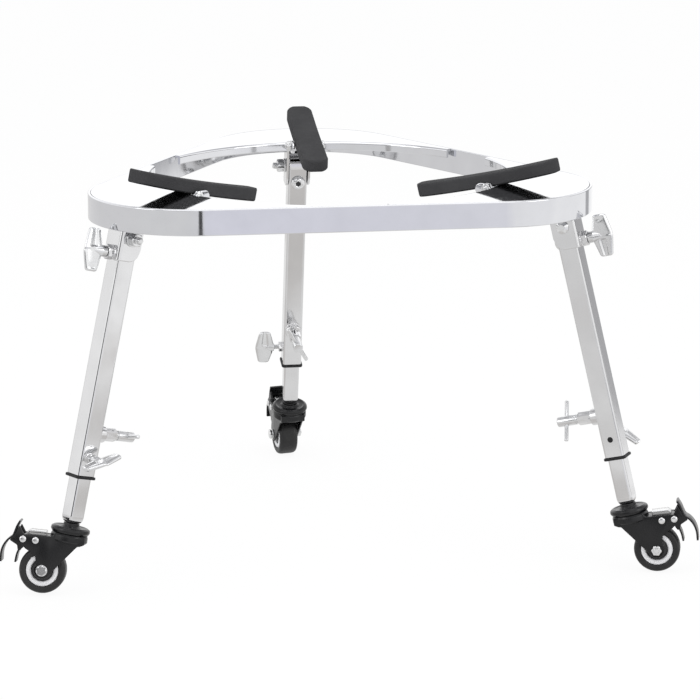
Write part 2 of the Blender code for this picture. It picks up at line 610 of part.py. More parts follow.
def pad_line():
    """The pad's lower outline along its slope, as (distance, height) from the pad's pivot, inner end first."""
    half = PAD_LENGTH / 2
    dip = half * math.tan(PAD_BEND) / 2
    base = [(-half, dip), (0, -dip), (half, dip)]
    cosine, sine = math.cos(PAD_SLOPE), math.sin(PAD_SLOPE)
    middle = PAD_RISE - PAD_THICKNESS / 2
    return [(PAD_CENTRE_SHIFT * cosine + u * cosine - w * sine,
             middle + PAD_CENTRE_SHIFT * sine + u * sine + w * cosine) for u, w in base]


def raise_line(line, height):
    """Moves a line of (x, z) points square to the pad's slope."""
    return [(x - height * math.sin(PAD_SLOPE), z + height * math.cos(PAD_SLOPE)) for x, z in line]


def make_pad_rubber(name, parent):
    """The rubber drum pad: a slightly bent bar with round ends and eased edges."""
    line = pad_line()
    outline = line + raise_line(line, PAD_THICKNESS)[::-1]
    bm = extrude_outline(outline, -PAD_WIDTH / 2, PAD_WIDTH / 2)
    ends = [edge for edge in bm.edges if abs(edge.verts[0].co.y - edge.verts[1].co.y) < 1e-6
            and abs(edge.verts[0].co.x - edge.verts[1].co.x) < 5 * MM]
    bmesh.ops.bevel(bm, geom=ends, offset=PAD_END_RADIUS, offset_type="OFFSET", segments=4, affect="EDGES",
                    profile=0.5)
    rims = [edge for edge in bm.edges if edge.is_manifold and edge.calc_face_angle(0) > math.radians(60)]
    bmesh.ops.bevel(bm, geom=rims, offset=2 * MM, offset_type="OFFSET", segments=1, affect="EDGES")
    pad = add_piece(name, bm, RUBBER, parent, smooth_angle=50)
    recess = backing_line(55.5 * MM)
    cut(pad, extrude_outline(raise_line(recess, -3 * MM) + raise_line(recess, 3 * MM)[::-1],
                             -10.4 * MM, 10.4 * MM), "strip_recess")
    cut(pad, rod((0, -20 * MM, 0), (0, 1, 0), 4.9 * MM, 40 * MM), "sleeve_groove")
    return pad


def backing_line(half):
    """The part of the pad's lower outline that the steel strip covers."""
    inner, middle, outer = (Vector(point) for point in pad_line())
    reach = half / (PAD_LENGTH / 2)
    return [tuple(middle.lerp(inner, reach)), tuple(middle), tuple(middle.lerp(outer, reach))]


def make_pad_hinge(name, parent, nut_side):
    """The steel strip in the pad's underside, with the welded cross pin that turns in the two ears.

    The pin has a low socket head on one side and a washer, nut and rounded end on the other.
    """
    line = backing_line(55 * MM)
    outline = raise_line(line, 0.2 * MM) + raise_line(line, 2.6 * MM)[::-1]
    hinge = add_piece(name, extrude_outline(outline, -10 * MM, 10 * MM), ZINC, parent)
    shoulder = PAD_WIDTH / 2 + GAP
    face = PAD_WIDTH / 2 + EAR_GAP + EAR_THICKNESS + GAP
    head = 3.0 * MM
    unite(hinge, rod((0, -shoulder, 0), (0, 1, 0), 4.6 * MM, 2 * shoulder), "sleeve")
    profile = [(0, -face - head), (3.6 * MM, -face - head), (5.1 * MM, -face - 1.6 * MM), (5.1 * MM, -face),
               (3 * MM, -face), (3 * MM, face), (5.6 * MM, face), (5.6 * MM, face + MM), (3 * MM, face + MM),
               (3 * MM, face + 6.6 * MM), (2 * MM, face + 7.6 * MM), (0, face + 7.6 * MM)]
    unite(hinge, lathe(profile, 10, (0, nut_side, 0)), "pin")
    unite(hinge, hex_nut((0, nut_side * (face + 0.8 * MM), 0), (0, nut_side, 0), 10 * MM, 5 * MM), "nut")
    cut(hinge, hex_nut((0, -nut_side * (face + 1.2 * MM), 0), (0, -nut_side, 0), 4 * MM, 4 * MM), "socket")
    return hinge


def leg_end_distance(swivel):
    """How far down the leg its end lies, so that the caster's tyre meets the floor."""
    lean = math.sin(LEG_SPLAY)
    axle_tilt = math.asin(lean * abs(math.sin(swivel)))
    wheel_height = WHEEL_RADIUS * math.cos(axle_tilt) + TREAD_WIDTH / 2 * math.sin(axle_tilt)
    end_height = wheel_height + CASTER_DROP * math.cos(LEG_SPLAY) - CASTER_TRAIL * lean * math.cos(swivel)
    return (PIVOT_HEIGHT - end_height) / math.cos(LEG_SPLAY)


def screw_place(drop, direction, turn):
    """Where a screw of the leg stands, given how far down it is and how many degrees it is turned."""
    place = Matrix.Translation((0, 0, -drop)) @ turn_z_to(direction)
    return place @ Matrix.Rotation(math.radians(turn), 4, "Z")


def make_leg(side, azimuth, stand):
    """Builds one leg with its bracket, screws and caster."""
    turned = Matrix.Rotation(math.radians(azimuth), 4, "Z")
    pivot = Matrix.Translation((PIVOT_RADIUS, 0, PIVOT_HEIGHT))
    leg = add_empty(f"leg_frame_{side}", turned @ pivot @ Matrix.Rotation(-LEG_SPLAY, 4, "Y"), stand)
    make_bracket(f"leg_bracket_{side}", leg)
    make_pivot_bolt(f"pivot_bolt_{side}", leg)
    make_outer_tube(f"outer_tube_{side}", leg)
    make_end_collar(f"end_collar_{side}", leg)
    swivel = math.radians(CASTER_SWIVEL[side])
    leg_end = leg_end_distance(swivel)
    make_inner_tube(f"inner_tube_{side}", leg, leg_end)

    nut_end = WEB_INSIDE + WEB_THICKNESS + 7.6 * MM
    make_wing_screw(f"clamp_screw_{side}", leg, screw_place(CLAMP_DROP, (1, 0, 0), 180 + CLAMP_TURN[side]),
                    (OUTER_SIDE / 2 + GAP, nut_end, nut_end + 8 * MM), SCREW_RADIUS)
    make_barrel(f"barrel_screw_{side}", leg, screw_place(CLAMP_DROP, (-1, 0, 0), 0))
    make_t_screw(f"height_screw_{side}", leg, screw_place(T_SCREW_DROP, (-1, 0, 0), 0),
                 math.radians(HEIGHT_TURN[side]))
    make_wing_screw(f"wing_screw_{side}", leg, screw_place(WING_SCREW_DROP, (0, 1, 0), WING_TURN[side]),
                    (INNER_SIDE / 2 + GAP, 25 * MM, 25.6 * MM), SIDE_SCREW_RADIUS, SIDE_WING_SCALE)

    foot = add_empty(f"caster_frame_{side}", Matrix.Translation((0, 0, -leg_end)), leg)
    make_caster_stem(f"caster_stem_{side}", foot)
    trail = add_empty(f"swivel_frame_{side}", Matrix.Rotation(swivel, 4, "Z"), foot)
    make_fork(f"caster_fork_{side}", trail)
    make_brake_spring(f"brake_spring_{side}", trail)
    make_brake_lever(f"brake_lever_{side}", trail)
    axle = Matrix.Translation((CASTER_TRAIL, 0, -CASTER_DROP)) @ turn_z_to((0, 1, 0))
    make_axle_bolt(f"axle_bolt_{side}", trail, axle)
    make_tyre(f"tyre_{side}", trail, axle)
    make_hub(f"wheel_hub_{side}", trail, axle)


def make_pad(side, azimuth, stand):
    """Builds one corner plate with the pad that tilts on it."""
    turned = Matrix.Rotation(math.radians(azimuth), 4, "Z")
    corner = add_empty(f"corner_frame_{side}", turned, stand)
    offset = Vector((PAD_PIVOT_RADIUS, 0, PAD_PIVOT_HEIGHT))
    make_corner_plate(f"corner_plate_{side}", corner, offset)
    pad = add_empty(f"pad_frame_{side}", Matrix.Translation(offset), corner)
    make_pad_rubber(f"pad_rubber_{side}", pad)
    make_pad_hinge(f"pad_hinge_{side}", pad, PAD_NUT_SIDE[side])


def centre_on_floor(stand):
    """Moves the whole stand so that the origin is the bottom centre of its box."""
    bpy.context.view_layer.update()
    graph = bpy.context.evaluated_depsgraph_get()
    low = Vector((1e9, 1e9, 1e9))
    high = -low
    for piece in bpy.data.objects:
        if piece.type != "MESH" or piece.hide_render:
            continue
        mesh = piece.evaluated_get(graph).to_mesh()
        for vert in mesh.vertices:
            point = piece.matrix_world @ vert.co
            low = Vector(map(min, low, point))
            high = Vector(map(max, high, point))
    stand.location = (-(low.x + high.x) / 2, -(low.y + high.y) / 2, -low.z)


def main():
    """Clears the scene and builds the stand."""
    for old in list(bpy.data.objects):
        bpy.data.objects.remove(old)
    stand = add_empty("stand", Matrix.Identity(4))
    make_ring_band(stand)
    for side, azimuth in LEG_AZIMUTHS.items():
        make_leg(side, azimuth, stand)
        make_pad(side, azimuth, stand)
    centre_on_floor(stand)
    bpy.context.view_layer.update()


main()
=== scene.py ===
"""Rolling conga stand, dressed for the studio: finer pieces, finishes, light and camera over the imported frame."""
import logging
import math
from dataclasses import dataclass
from enum import Enum

import bmesh
import bpy
import numpy as np
from mathutils import Matrix, Vector


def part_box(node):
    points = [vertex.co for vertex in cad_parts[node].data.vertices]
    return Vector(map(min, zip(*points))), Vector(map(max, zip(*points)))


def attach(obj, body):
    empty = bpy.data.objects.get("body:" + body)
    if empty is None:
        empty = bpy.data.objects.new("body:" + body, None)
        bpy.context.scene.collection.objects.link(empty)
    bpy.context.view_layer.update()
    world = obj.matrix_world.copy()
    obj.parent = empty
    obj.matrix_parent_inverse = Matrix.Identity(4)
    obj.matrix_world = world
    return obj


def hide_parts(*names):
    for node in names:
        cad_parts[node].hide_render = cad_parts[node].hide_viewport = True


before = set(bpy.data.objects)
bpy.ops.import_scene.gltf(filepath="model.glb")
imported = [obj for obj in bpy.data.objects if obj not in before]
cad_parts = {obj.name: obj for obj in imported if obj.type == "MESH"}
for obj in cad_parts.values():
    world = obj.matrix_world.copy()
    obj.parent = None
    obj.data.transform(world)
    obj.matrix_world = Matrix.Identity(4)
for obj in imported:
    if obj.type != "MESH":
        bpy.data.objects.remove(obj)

log = logging.getLogger("conga_stand")
MM = 0.001
Array = np.ndarray
IDENTITY = Matrix.Identity(4)


class Side(Enum):
    """A leg's place on the ring, how far its caster and screws are turned, in degrees, and its pad's nut side."""

    BACK = ("back", 90.0, 7.0, 0.0, 30.0, 80.0, 1)
    LEFT = ("left", 210.0, -41.0, 9.0, 80.0, 25.0, -1)
    RIGHT = ("right", 330.0, 15.0, 0.0, 36.0, 47.0, -1)

    def __init__(self, label: str, azimuth: float, swivel: float, clamp: float, height: float, wing: float,
                 nut_side: int) -> None:
        """Keeps the side's label and angles."""
        self.label = label
        self.azimuth = math.radians(azimuth)
        self.swivel = math.radians(swivel)
        self.clamp_turn = math.radians(180 + clamp)
        self.height_turn = math.radians(height)
        self.wing_turn = math.radians(wing)
        self.nut_side = nut_side


@dataclass(frozen=True)
class StandFrame:
    """Places that every sub-assembly is hung from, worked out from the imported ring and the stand's sizes."""

    corner_reach: float = 297.5 * MM
    ring_top: float = 415 * MM
    pivot_radius: float = 274.5 * MM
    pivot_height: float = 375 * MM
    splay: float = math.radians(13.8)
    caster_trail: float = 21 * MM
    caster_drop: float = 55 * MM
    wheel_radius: float = 25 * MM
    tread_half: float = 7.5 * MM

    def axis(self) -> Matrix:
        """The ring's centre axis, at the floor.

        Returns:
            A translation to the foot of the axis.
        """
        low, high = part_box("ring_band")
        return Matrix.Translation(((low[0] + high[0]) / 2, high[1] - self.corner_reach, high[2] - self.ring_top))

    def corner(self, side: Side) -> Matrix:
        """The ring's frame turned so that +X points to one corner."""
        return self.axis() @ Matrix.Rotation(side.azimuth, 4, "Z")

    def leg(self, side: Side) -> Matrix:
        """A leg's frame: origin on its pivot, +Z up the leg, +X outward."""
        lean = Matrix.Rotation(-self.splay, 4, "Y")
        return self.corner(side) @ Matrix.Translation((self.pivot_radius, 0, self.pivot_height)) @ lean

    def leg_end(self, side: Side) -> float:
        """How far down the leg its end lies, so that the tyre meets the floor."""
        lean = math.sin(self.splay)
        tilt = math.asin(lean * abs(math.sin(side.swivel)))
        wheel = self.wheel_radius * math.cos(tilt) + self.tread_half * math.sin(tilt)
        height = wheel + self.caster_drop * math.cos(self.splay) - self.caster_trail * lean * math.cos(side.swivel)
        return (self.pivot_height - height) / math.cos(self.splay)

    def caster(self, side: Side) -> Matrix:
        """A caster's frame: origin at the leg's end on the swivel axis, +X along the trail."""
        end = self.leg(side) @ Matrix.Translation((0, 0, -self.leg_end(side)))
        return end @ Matrix.Rotation(side.swivel, 4, "Z")

    def axle(self, side: Side) -> Matrix:
        """A wheel's frame: origin at its centre, +Z along the axle."""
        centre = Matrix.Translation((self.caster_trail, 0, -self.caster_drop))
        return self.caster(side) @ centre @ turned_to((0, 1, 0))


def turned_to(direction: tuple[float, float, float]) -> Matrix:
    """The rotation that turns +Z to a direction."""
    return Vector((0, 0, 1)).rotation_difference(Vector(direction)).to_matrix().to_4x4()


def shifted(x: float = 0.0, y: float = 0.0, z: float = 0.0) -> Matrix:
    """A translation."""
    return Matrix.Translation((x, y, z))


def filleted(corners: Array, radius: Array | float, steps: int = 4, hold: float = 0.0) -> Array:
    """Rounds the corners of a closed outline.

    Each corner becomes a rational quadratic curve between its two tangent points, weighted by the sine of
    half its angle, which is an exact circular arc.

    Args:
        corners: The outline's corners, one row each.
        radius: The fillet radius, one for all or one per corner.
        steps: Spans in each arc.
        hold: How far before and after each arc an extra point keeps the flat beside it flat.

    Returns:
        The rounded outline's points.
    """
    corners = np.asarray(corners, float)
    radius = np.broadcast_to(np.asarray(radius, float), len(corners))
    back = np.roll(corners, 1, axis=0) - corners
    ahead = np.roll(corners, -1, axis=0) - corners
    back_length = np.linalg.norm(back, axis=1)
    ahead_length = np.linalg.norm(ahead, axis=1)
    back /= back_length[:, None]
    ahead /= ahead_length[:, None]
    half = np.arccos(np.clip((back * ahead).sum(axis=1), -1, 1)) / 2
    trim = np.minimum(radius / np.tan(half), 0.49 * np.minimum(back_length, ahead_length))
    start = corners + back * trim[:, None]
    end = corners + ahead * trim[:, None]
    t = np.linspace(0, 1, steps + 1)[None, :, None]
    weight = 2 * np.sin(half)[:, None, None] * t * (1 - t)
    top = (1 - t) ** 2 * start[:, None] + weight * corners[:, None] + t ** 2 * end[:, None]
    arcs = top / ((1 - t) ** 2 + weight + t ** 2)
    if hold:
        arcs = np.concatenate([(start + back * hold)[:, None], arcs, (end + ahead * hold)[:, None]], axis=1)
    return arcs.reshape(-1, 2)


def lathe_line(points: Array, radius: Array | float, steps: int = 4) -> Array:
    """A turned body's profile with rounded corners, whose first and last points stay sharp on the axis."""
    corner = np.broadcast_to(np.asarray(radius, float), len(points)).copy()
    corner[[0, -1]] = 0.0
    return filleted(points, corner, steps)


def turned(profile: Array, count: int) -> Array:
    """A profile spun about +Z, as points (r cos a, r sin a, h) for evenly spaced angles a.

    A third column f says how six-sided a row is. There the radius given is half the size across flats, and
    r = radius (1 - f + f / cos b), where b runs from -30 to 30 degrees across each flat.

    Args:
        profile: Rows of radius, height and, where wanted, f.
        count: Points round the axis.

    Returns:
        A grid of angles by rows.
    """
    profile = np.asarray(profile, float)
    angle = np.linspace(0, 2 * np.pi, count, endpoint=False)[:, None]
    radius, height = profile[None, :, 0], profile[None, :, 1]
    if profile.shape[1] == 3:
        flat = np.mod(angle, np.pi / 3) - np.pi / 6
        radius = radius * (1 + profile[None, :, 2] * (1 / np.cos(flat) - 1))
    return np.stack(np.broadcast_arrays(radius * np.cos(angle), radius * np.sin(angle), height), axis=-1)


def nut_rows(flats: float, length: float, start: float = 0.0) -> Array:
    """Rows of a chamfered nut: round faces that widen to the full hexagon within a short height."""
    half, edge, end = flats / 2, 0.05 * flats, start + length
    return np.array([(0, start, 0), (0.9 * half, start, 0), (0.94 * half, start, 0), (half, start + edge, 1),
                     (half, end - edge, 1), (0.94 * half, end, 0), (0.9 * half, end, 0), (0, end, 0)])


def threaded(radius: float, pitch: float, start: float, length: float, count: int = 30) -> Array:
    """A screw thread about +Z: r = radius - 0.5 pitch |2 p - 1|, where p is the fraction of h / pitch - a / 2 pi."""
    angle = np.linspace(0, 2 * np.pi, count, endpoint=False)[:, None]
    height = np.linspace(0, length, max(int(length / pitch * 6), 2) + 1)[None]
    phase = np.mod(height / pitch - angle / (2 * np.pi), 1.0)
    reach = radius - 0.5 * pitch * np.abs(2 * phase - 1)
    return np.stack([reach * np.cos(angle), reach * np.sin(angle), start + height + 0 * angle], axis=-1)


def bead(radius: float, size: float, count: int = 96) -> Array:
    """A weld bead: a torus about +Z whose thickness is size (1 + 0.14 sin 17a + 0.08 sin 29a)."""
    angle = np.linspace(0, 2 * np.pi, count, endpoint=False)[:, None]
    turn = np.linspace(0, 2 * np.pi, 8, endpoint=False)[None]
    thick = size * (1 + 0.14 * np.sin(17 * angle) + 0.08 * np.sin(29 * angle))
    reach = radius + thick * np.cos(turn)
    return np.stack([reach * np.cos(angle), reach * np.sin(angle), thick * np.sin(turn)], axis=-1)


def square_skin(levels: Array, spans: int = 1, steps: int = 5) -> Array:
    """A square tube with rounded corners about +Z.

    With s the signs of a corner and d the direction on its arc, a point is s (side / 2 - corner) + d corner.
    Along each flat s runs evenly from one corner to the next.

    Args:
        levels: Rows of height, side and corner radius.
        spans: Spans along each flat, besides the short ones beside the corners.
        steps: Spans in each corner.

    Returns:
        A grid of levels by points round the tube.
    """
    height, side, corner = np.asarray(levels, float).T
    quarter = np.arange(4)[:, None]
    angle = np.radians(90 * quarter + np.linspace(0, 90, steps + 1)[None])
    middle = np.radians(90 * quarter + 45)
    arc = np.stack([np.cos(angle), np.sin(angle)], axis=-1)
    sign = np.sign(np.stack([np.cos(middle), np.sin(middle)], axis=-1))
    t = np.concatenate([[0.02], np.linspace(0, 1, spans + 1)[1:-1], [0.98]])[None, :, None]
    flat_sign = sign + (np.roll(sign, -1, axis=0) - sign) * t
    signs = np.concatenate([np.broadcast_to(sign, arc.shape), flat_sign], axis=1).reshape(-1, 2)
    arcs = np.concatenate([arc, np.broadcast_to(arc[:, -1:], flat_sign.shape)], axis=1).reshape(-1, 2)
    flat = signs[None] * (side / 2 - corner)[:, None, None] + arcs[None] * corner[:, None, None]
    level = np.broadcast_to(height[:, None], flat.shape[:2])
    return np.concatenate([flat, level[..., None]], axis=-1)


def slab(outline: Array, low: float, high: float, rim: float, steps: int = 3) -> Array:
    """A flat plate with rounded rims, as rows of points from its low face to its high face.

    The outline is drawn in X and Z and the plate's thickness runs along Y. Near each face the outline is
    moved inward by rim (1 - cos a) while the level moves by rim sin a, so the rim is a quarter circle.

    Args:
        outline: The closed outline, one row per point.
        low: The low face's Y.
        high: The high face's Y.
        rim: The rim's radius.
        steps: Spans in each quarter circle.

    Returns:
        A grid of points, rows by outline points.
    """
    outline = np.asarray(outline, float)
    forward = np.roll(outline, -1, axis=0) - np.roll(outline, 1, axis=0)
    inward = np.stack([-forward[:, 1], forward[:, 0]], axis=1)
    inward /= np.maximum(np.linalg.norm(inward, axis=1), 1e-9)[:, None]
    x, z = outline.T
    area = np.sum(x * np.roll(z, -1) - np.roll(x, -1) * z)
    inward *= math.copysign(1.0, area)
    turn = np.linspace(0, np.pi / 2, steps + 1)
    inset = rim * (1 - np.sin(turn))
    level = low + rim * (1 - np.cos(turn))
    inset = np.concatenate([inset, inset[::-1]])
    level = np.concatenate([level, high + low - level[::-1]])
    points = outline[None] + inward[None] * inset[:, None, None]
    return np.stack([points[..., 0], np.broadcast_to(level[:, None], points.shape[:2]), points[..., 1]], axis=-1)


def ribbon(path: Array, thickness: float) -> Array:
    """The closed outline of a bent strip: a path, and the same path moved to its left by the thickness."""
    path = np.asarray(path, float)
    step = np.gradient(path, axis=0)
    step /= np.linalg.norm(step, axis=1)[:, None]
    left = np.stack([-step[:, 1], step[:, 0]], axis=1)
    return np.concatenate([path, (path + left * thickness)[::-1]])


def smooth_path(points: Array, count: int) -> Array:
    """A smooth open curve through points: Catmull-Rom spans, where each tangent is half the step across a point."""
    points = np.asarray(points, float)
    tangent = np.gradient(points, axis=0)
    where = np.linspace(0, len(points) - 1, count)
    span = np.minimum(where.astype(int), len(points) - 2)
    t = (where - span)[:, None]
    start, end = points[span], points[span + 1]
    return ((2 * t ** 3 - 3 * t ** 2 + 1) * start + (t ** 3 - 2 * t ** 2 + t) * tangent[span]
            + (3 * t ** 2 - 2 * t ** 3) * end + (t ** 3 - t ** 2) * tangent[span + 1])


class Form:
    """One visible piece, gathered from grids of points that are computed as whole arrays."""

    def __init__(self, name: str) -> None:
        """Starts an empty piece of the given name."""
        self.name = name
        self._points: list[Array] = []
        self._faces: list[list[int]] = []
        self._count = 0

    def add(self, grid: Array, place: Matrix = IDENTITY, rows_close: bool = True, columns_close: bool = True,
            caps: bool = False) -> "Form":
        """Adds a grid of points as quads.

        Args:
            grid: Points, rows by columns by three.
            place: Where the grid's own frame lies.
            rows_close: Whether the last row joins the first.
            columns_close: Whether the last column joins the first.
            caps: Whether the first and last rows are filled with a face each.

        Returns:
            The form itself, so that calls can follow each other.
        """
        matrix = np.array(place)
        rows, columns = grid.shape[:2]
        index = np.arange(rows * columns).reshape(rows, columns) + self._count
        first, last = index[0].tolist(), index[-1].tolist()
        if rows_close:
            index = np.concatenate([index, index[:1]])
        if columns_close:
            index = np.concatenate([index, index[:, :1]], axis=1)
        quads = np.stack([index[:-1, :-1], index[1:, :-1], index[1:, 1:], index[:-1, 1:]], axis=-1)
        self._faces += quads.reshape(-1, 4).tolist()
        if caps:
            self._faces += [first[::-1], last]
        self._points.append(grid.reshape(-1, 3) @ matrix[:3, :3].T + matrix[:3, 3])
        self._count += rows * columns
        return self

    def turn(self, profile: Array, place: Matrix = IDENTITY, count: int = 48, closed: bool = False) -> "Form":
        """Adds a turned body; an open profile starts and ends on the axis."""
        return self.add(turned(profile, count), place, True, closed)

    def plate(self, outline: Array, low: float, high: float, rim: float, place: Matrix = IDENTITY,
              steps: int = 3) -> "Form":
        """Adds a flat plate with rounded rims."""
        return self.add(slab(outline, low, high, rim, steps), place, False, True, True)

    def build(self, angle: float = 38) -> bpy.types.Object:
        """Makes the mesh, merges the seams and poles, turns the faces outward and shades it.

        Args:
            angle: Edges sharper than this many degrees stay sharp.

        Returns:
            The finished object, at the origin.
        """
        mesh = bpy.data.meshes.new(self.name)
        mesh.from_pydata(np.concatenate(self._points).tolist(), [], self._faces)
        bm = bmesh.new()
        bm.from_mesh(mesh)
        bmesh.ops.remove_doubles(bm, verts=bm.verts, dist=1e-6)
        bmesh.ops.dissolve_degenerate(bm, edges=bm.edges, dist=1e-7)
        bmesh.ops.recalc_face_normals(bm, faces=bm.faces)
        bm.to_mesh(mesh)
        bm.free()
        mesh.shade_smooth()
        mesh.set_sharp_from_angle(angle=math.radians(angle))
        piece = bpy.data.objects.new(self.name, mesh)
        bpy.context.scene.collection.objects.link(piece)
        return piece


class Signal:
    """A shader socket that can be used in arithmetic."""

    def __init__(self, recipe: "Recipe", socket: bpy.types.NodeSocket) -> None:
        """Wraps a socket of a recipe."""
        self.recipe = recipe
        self.socket = socket

    def maths(self, operation: str, first: "Signal | float", second: "Signal | float" = 0.0,
              clamp: bool = False) -> "Signal":
        """One Math node on two values."""
        node = self.recipe.node("ShaderNodeMath", {"operation": operation, "use_clamp": clamp},
                                {0: first, 1: second})
        return Signal(self.recipe, node.outputs[0])

    def __add__(self, other: "Signal | float") -> "Signal":
        """The sum."""
        return self.maths("ADD", self, other)

    def __radd__(self, other: float) -> "Signal":
        """The sum, with the number first."""
        return self.maths("ADD", other, self)

    def __sub__(self, other: "Signal | float") -> "Signal":
        """The difference."""
        return self.maths("SUBTRACT", self, other)

    def __rsub__(self, other: float) -> "Signal":
        """The difference, with the number first."""
        return self.maths("SUBTRACT", other, self)

    def __mul__(self, other: "Signal | float") -> "Signal":
        """The product."""
        return self.maths("MULTIPLY", self, other)

    def __rmul__(self, other: float) -> "Signal":
        """The product, with the number first."""
        return self.maths("MULTIPLY", other, self)

    def above(self, low: float, high: float) -> "Signal":
        """Rises evenly from 0 at low to 1 at high."""
        return self.maths("MULTIPLY", self - low, 1 / (high - low), clamp=True)


class Recipe:
    """A material or world under construction, with one method that makes every node."""

    def __init__(self, owner: bpy.types.Material | bpy.types.World) -> None:
        """Starts from the owner's own shader.

        Args:
            owner: The new material or world.
        """
        owner.use_nodes = True
        self.owner = owner
        self.tree = owner.node_tree
        kind = "Principled BSDF" if isinstance(owner, bpy.types.Material) else "Background"
        self.shader = self.tree.nodes[kind]

    def feed(self, socket: bpy.types.NodeSocket, value: object) -> None:
        """Links a signal or socket to an input, or sets its value."""
        if isinstance(value, Signal):
            value = value.socket
        if isinstance(value, bpy.types.NodeSocket):
            self.tree.links.new(value, socket)
        else:
            socket.default_value = value

    def node(self, kind: str, settings: dict[str, object], inputs: dict[object, object]) -> bpy.types.Node:
        """Makes a node.

        Args:
            kind: The node's type.
            settings: Its properties, set first; "stops" gives a ramp's positions and colours.
            inputs: Values or links, by socket name or number.

        Returns:
            The node.
        """
        made = self.tree.nodes.new(kind)
        for key, value in settings.items():
            if key == "stops":
                ramp = made.color_ramp.elements
                for spare in list(ramp)[1:]:
                    ramp.remove(spare)
                ramp[0].position, ramp[0].color = value[0]
                for position, colour in value[1:]:
                    ramp.new(position).color = colour
            else:
                setattr(made, key, value)
        for key, value in inputs.items():
            self.feed(made.inputs[key], value)
        return made

    def place(self, scale: tuple[float, float, float] = (1, 1, 1)) -> bpy.types.NodeSocket:
        """Object coordinates, stretched by a scale."""
        coordinate = self.node("ShaderNodeTexCoord", {}, {})
        mapping = self.node("ShaderNodeMapping", {}, {"Vector": coordinate.outputs["Object"], "Scale": scale})
        return mapping.outputs["Vector"]

    def noise(self, scale: float, detail: float = 3.0, roughness: float = 0.5,
              stretch: tuple[float, float, float] = (1, 1, 1)) -> Signal:
        """Noise of a given number of features per metre."""
        made = self.node("ShaderNodeTexNoise", {}, {"Vector": self.place(stretch), "Scale": scale,
                                                    "Detail": detail, "Roughness": roughness})
        return Signal(self, made.outputs["Fac"])

    def mixed(self, factor: Signal | float, first: object, second: object) -> bpy.types.NodeSocket:
        """A colour between two colours, each given as three numbers or as a socket."""
        pair = [(*colour, 1.0) if isinstance(colour, tuple) else colour for colour in (first, second)]
        made = self.node("ShaderNodeMix", {"data_type": "RGBA"}, {0: factor, 6: pair[0], 7: pair[1]})
        return made.outputs[2]

    def ray(self, kind: str) -> Signal:
        """Whether the ray that sees the surface is of a kind, as 1 or 0."""
        return Signal(self, self.node("ShaderNodeLightPath", {}, {}).outputs[f"Is {kind} Ray"])

    def bump(self, height: Signal, distance: float, strength: float = 1.0) -> None:
        """Feeds a height in metres times distance to the shader's normal."""
        made = self.node("ShaderNodeBump", {}, {"Height": height, "Distance": distance, "Strength": strength})
        self.feed(self.shader.inputs["Normal"], made.outputs["Normal"])

    def set(self, **inputs: object) -> "Recipe":
        """Feeds the shader's inputs, named with underscores for spaces."""
        for key, value in inputs.items():
            self.feed(self.shader.inputs[key.replace("_", " ")], value)
        return self


@dataclass(frozen=True)
class Plating:
    """A plated metal: mirror chrome or bright zinc, with faint haze, wipe marks and a slight ripple."""

    name: str
    colour: tuple[float, float, float]
    shade: tuple[float, float, float]
    roughness: float
    haze: float
    ripple: float
    ripple_scale: float = 30.0

    def material(self) -> bpy.types.Material:
        """Builds the plating."""
        recipe = Recipe(bpy.data.materials.new(self.name))
        cloud = recipe.noise(38.0, 4.0).above(0.35, 0.75)
        wipes = recipe.noise(160.0, 5.0, 0.62, (1, 1, 0.22)).above(0.5, 0.85)
        pits = recipe.noise(2600.0, 2.0).above(0.66, 0.78)
        recipe.set(Base_Color=recipe.mixed(cloud * 0.7 + pits * 0.3, self.colour, self.shade), Metallic=1.0,
                   Roughness=self.roughness + cloud * self.haze + wipes * (self.haze * 0.8) + pits * 0.04)
        recipe.bump(recipe.noise(self.ripple_scale, 1.0) * self.ripple + recipe.noise(900.0, 2.0) * 0.004, MM)
        return recipe.owner


@dataclass(frozen=True)
class Moulding:
    """A moulded or coated surface: rubber, plastic or powder coat, with fine grain, dust and rubbed places, and, where
    under is below 1, a painted shade on faces turned downward.
    """

    name: str
    colour: tuple[float, float, float]
    worn: tuple[float, float, float]
    roughness: float
    grain_scale: float
    grain_depth: float
    dust: float
    sheen: float = 0.0
    specular: float = 0.5
    # under: how dark faces turned downward are painted, a painted shade rather than the material's own tone.
    under: float = 1.0

    def material(self) -> bpy.types.Material:
        """Builds the surface."""
        recipe = Recipe(bpy.data.materials.new(self.name))
        grain = recipe.noise(self.grain_scale, 3.0, 0.6)
        patches = recipe.noise(55.0, 5.0, 0.6).above(0.42, 0.8)
        specks = recipe.noise(1400.0, 2.0).above(0.62, 0.74)
        colour = recipe.mixed(patches * self.dust + specks * (self.dust * 0.6), self.colour, self.worn)
        # Painted shade: faces turned downward take under times the colour, so the pad's underside shows dark in the
        # chrome plate's reflection.
        if self.under < 1:
            facing = recipe.node("ShaderNodeNewGeometry", {}, {}).outputs["Normal"]
            split = recipe.node("ShaderNodeSeparateXYZ", {}, {0: facing})
            painted_underside_shade = tuple(part * self.under for part in self.colour)
            colour = recipe.mixed(Signal(recipe, split.outputs["Z"]).above(-0.7, -0.1), painted_underside_shade, colour)
        recipe.set(Base_Color=colour, Roughness=self.roughness + grain * 0.12 - patches * 0.07, Metallic=0.0,
                   Sheen_Weight=self.sheen, Sheen_Roughness=0.5, Specular_IOR_Level=self.specular)
        recipe.bump(grain, self.grain_depth * MM)
        return recipe.owner


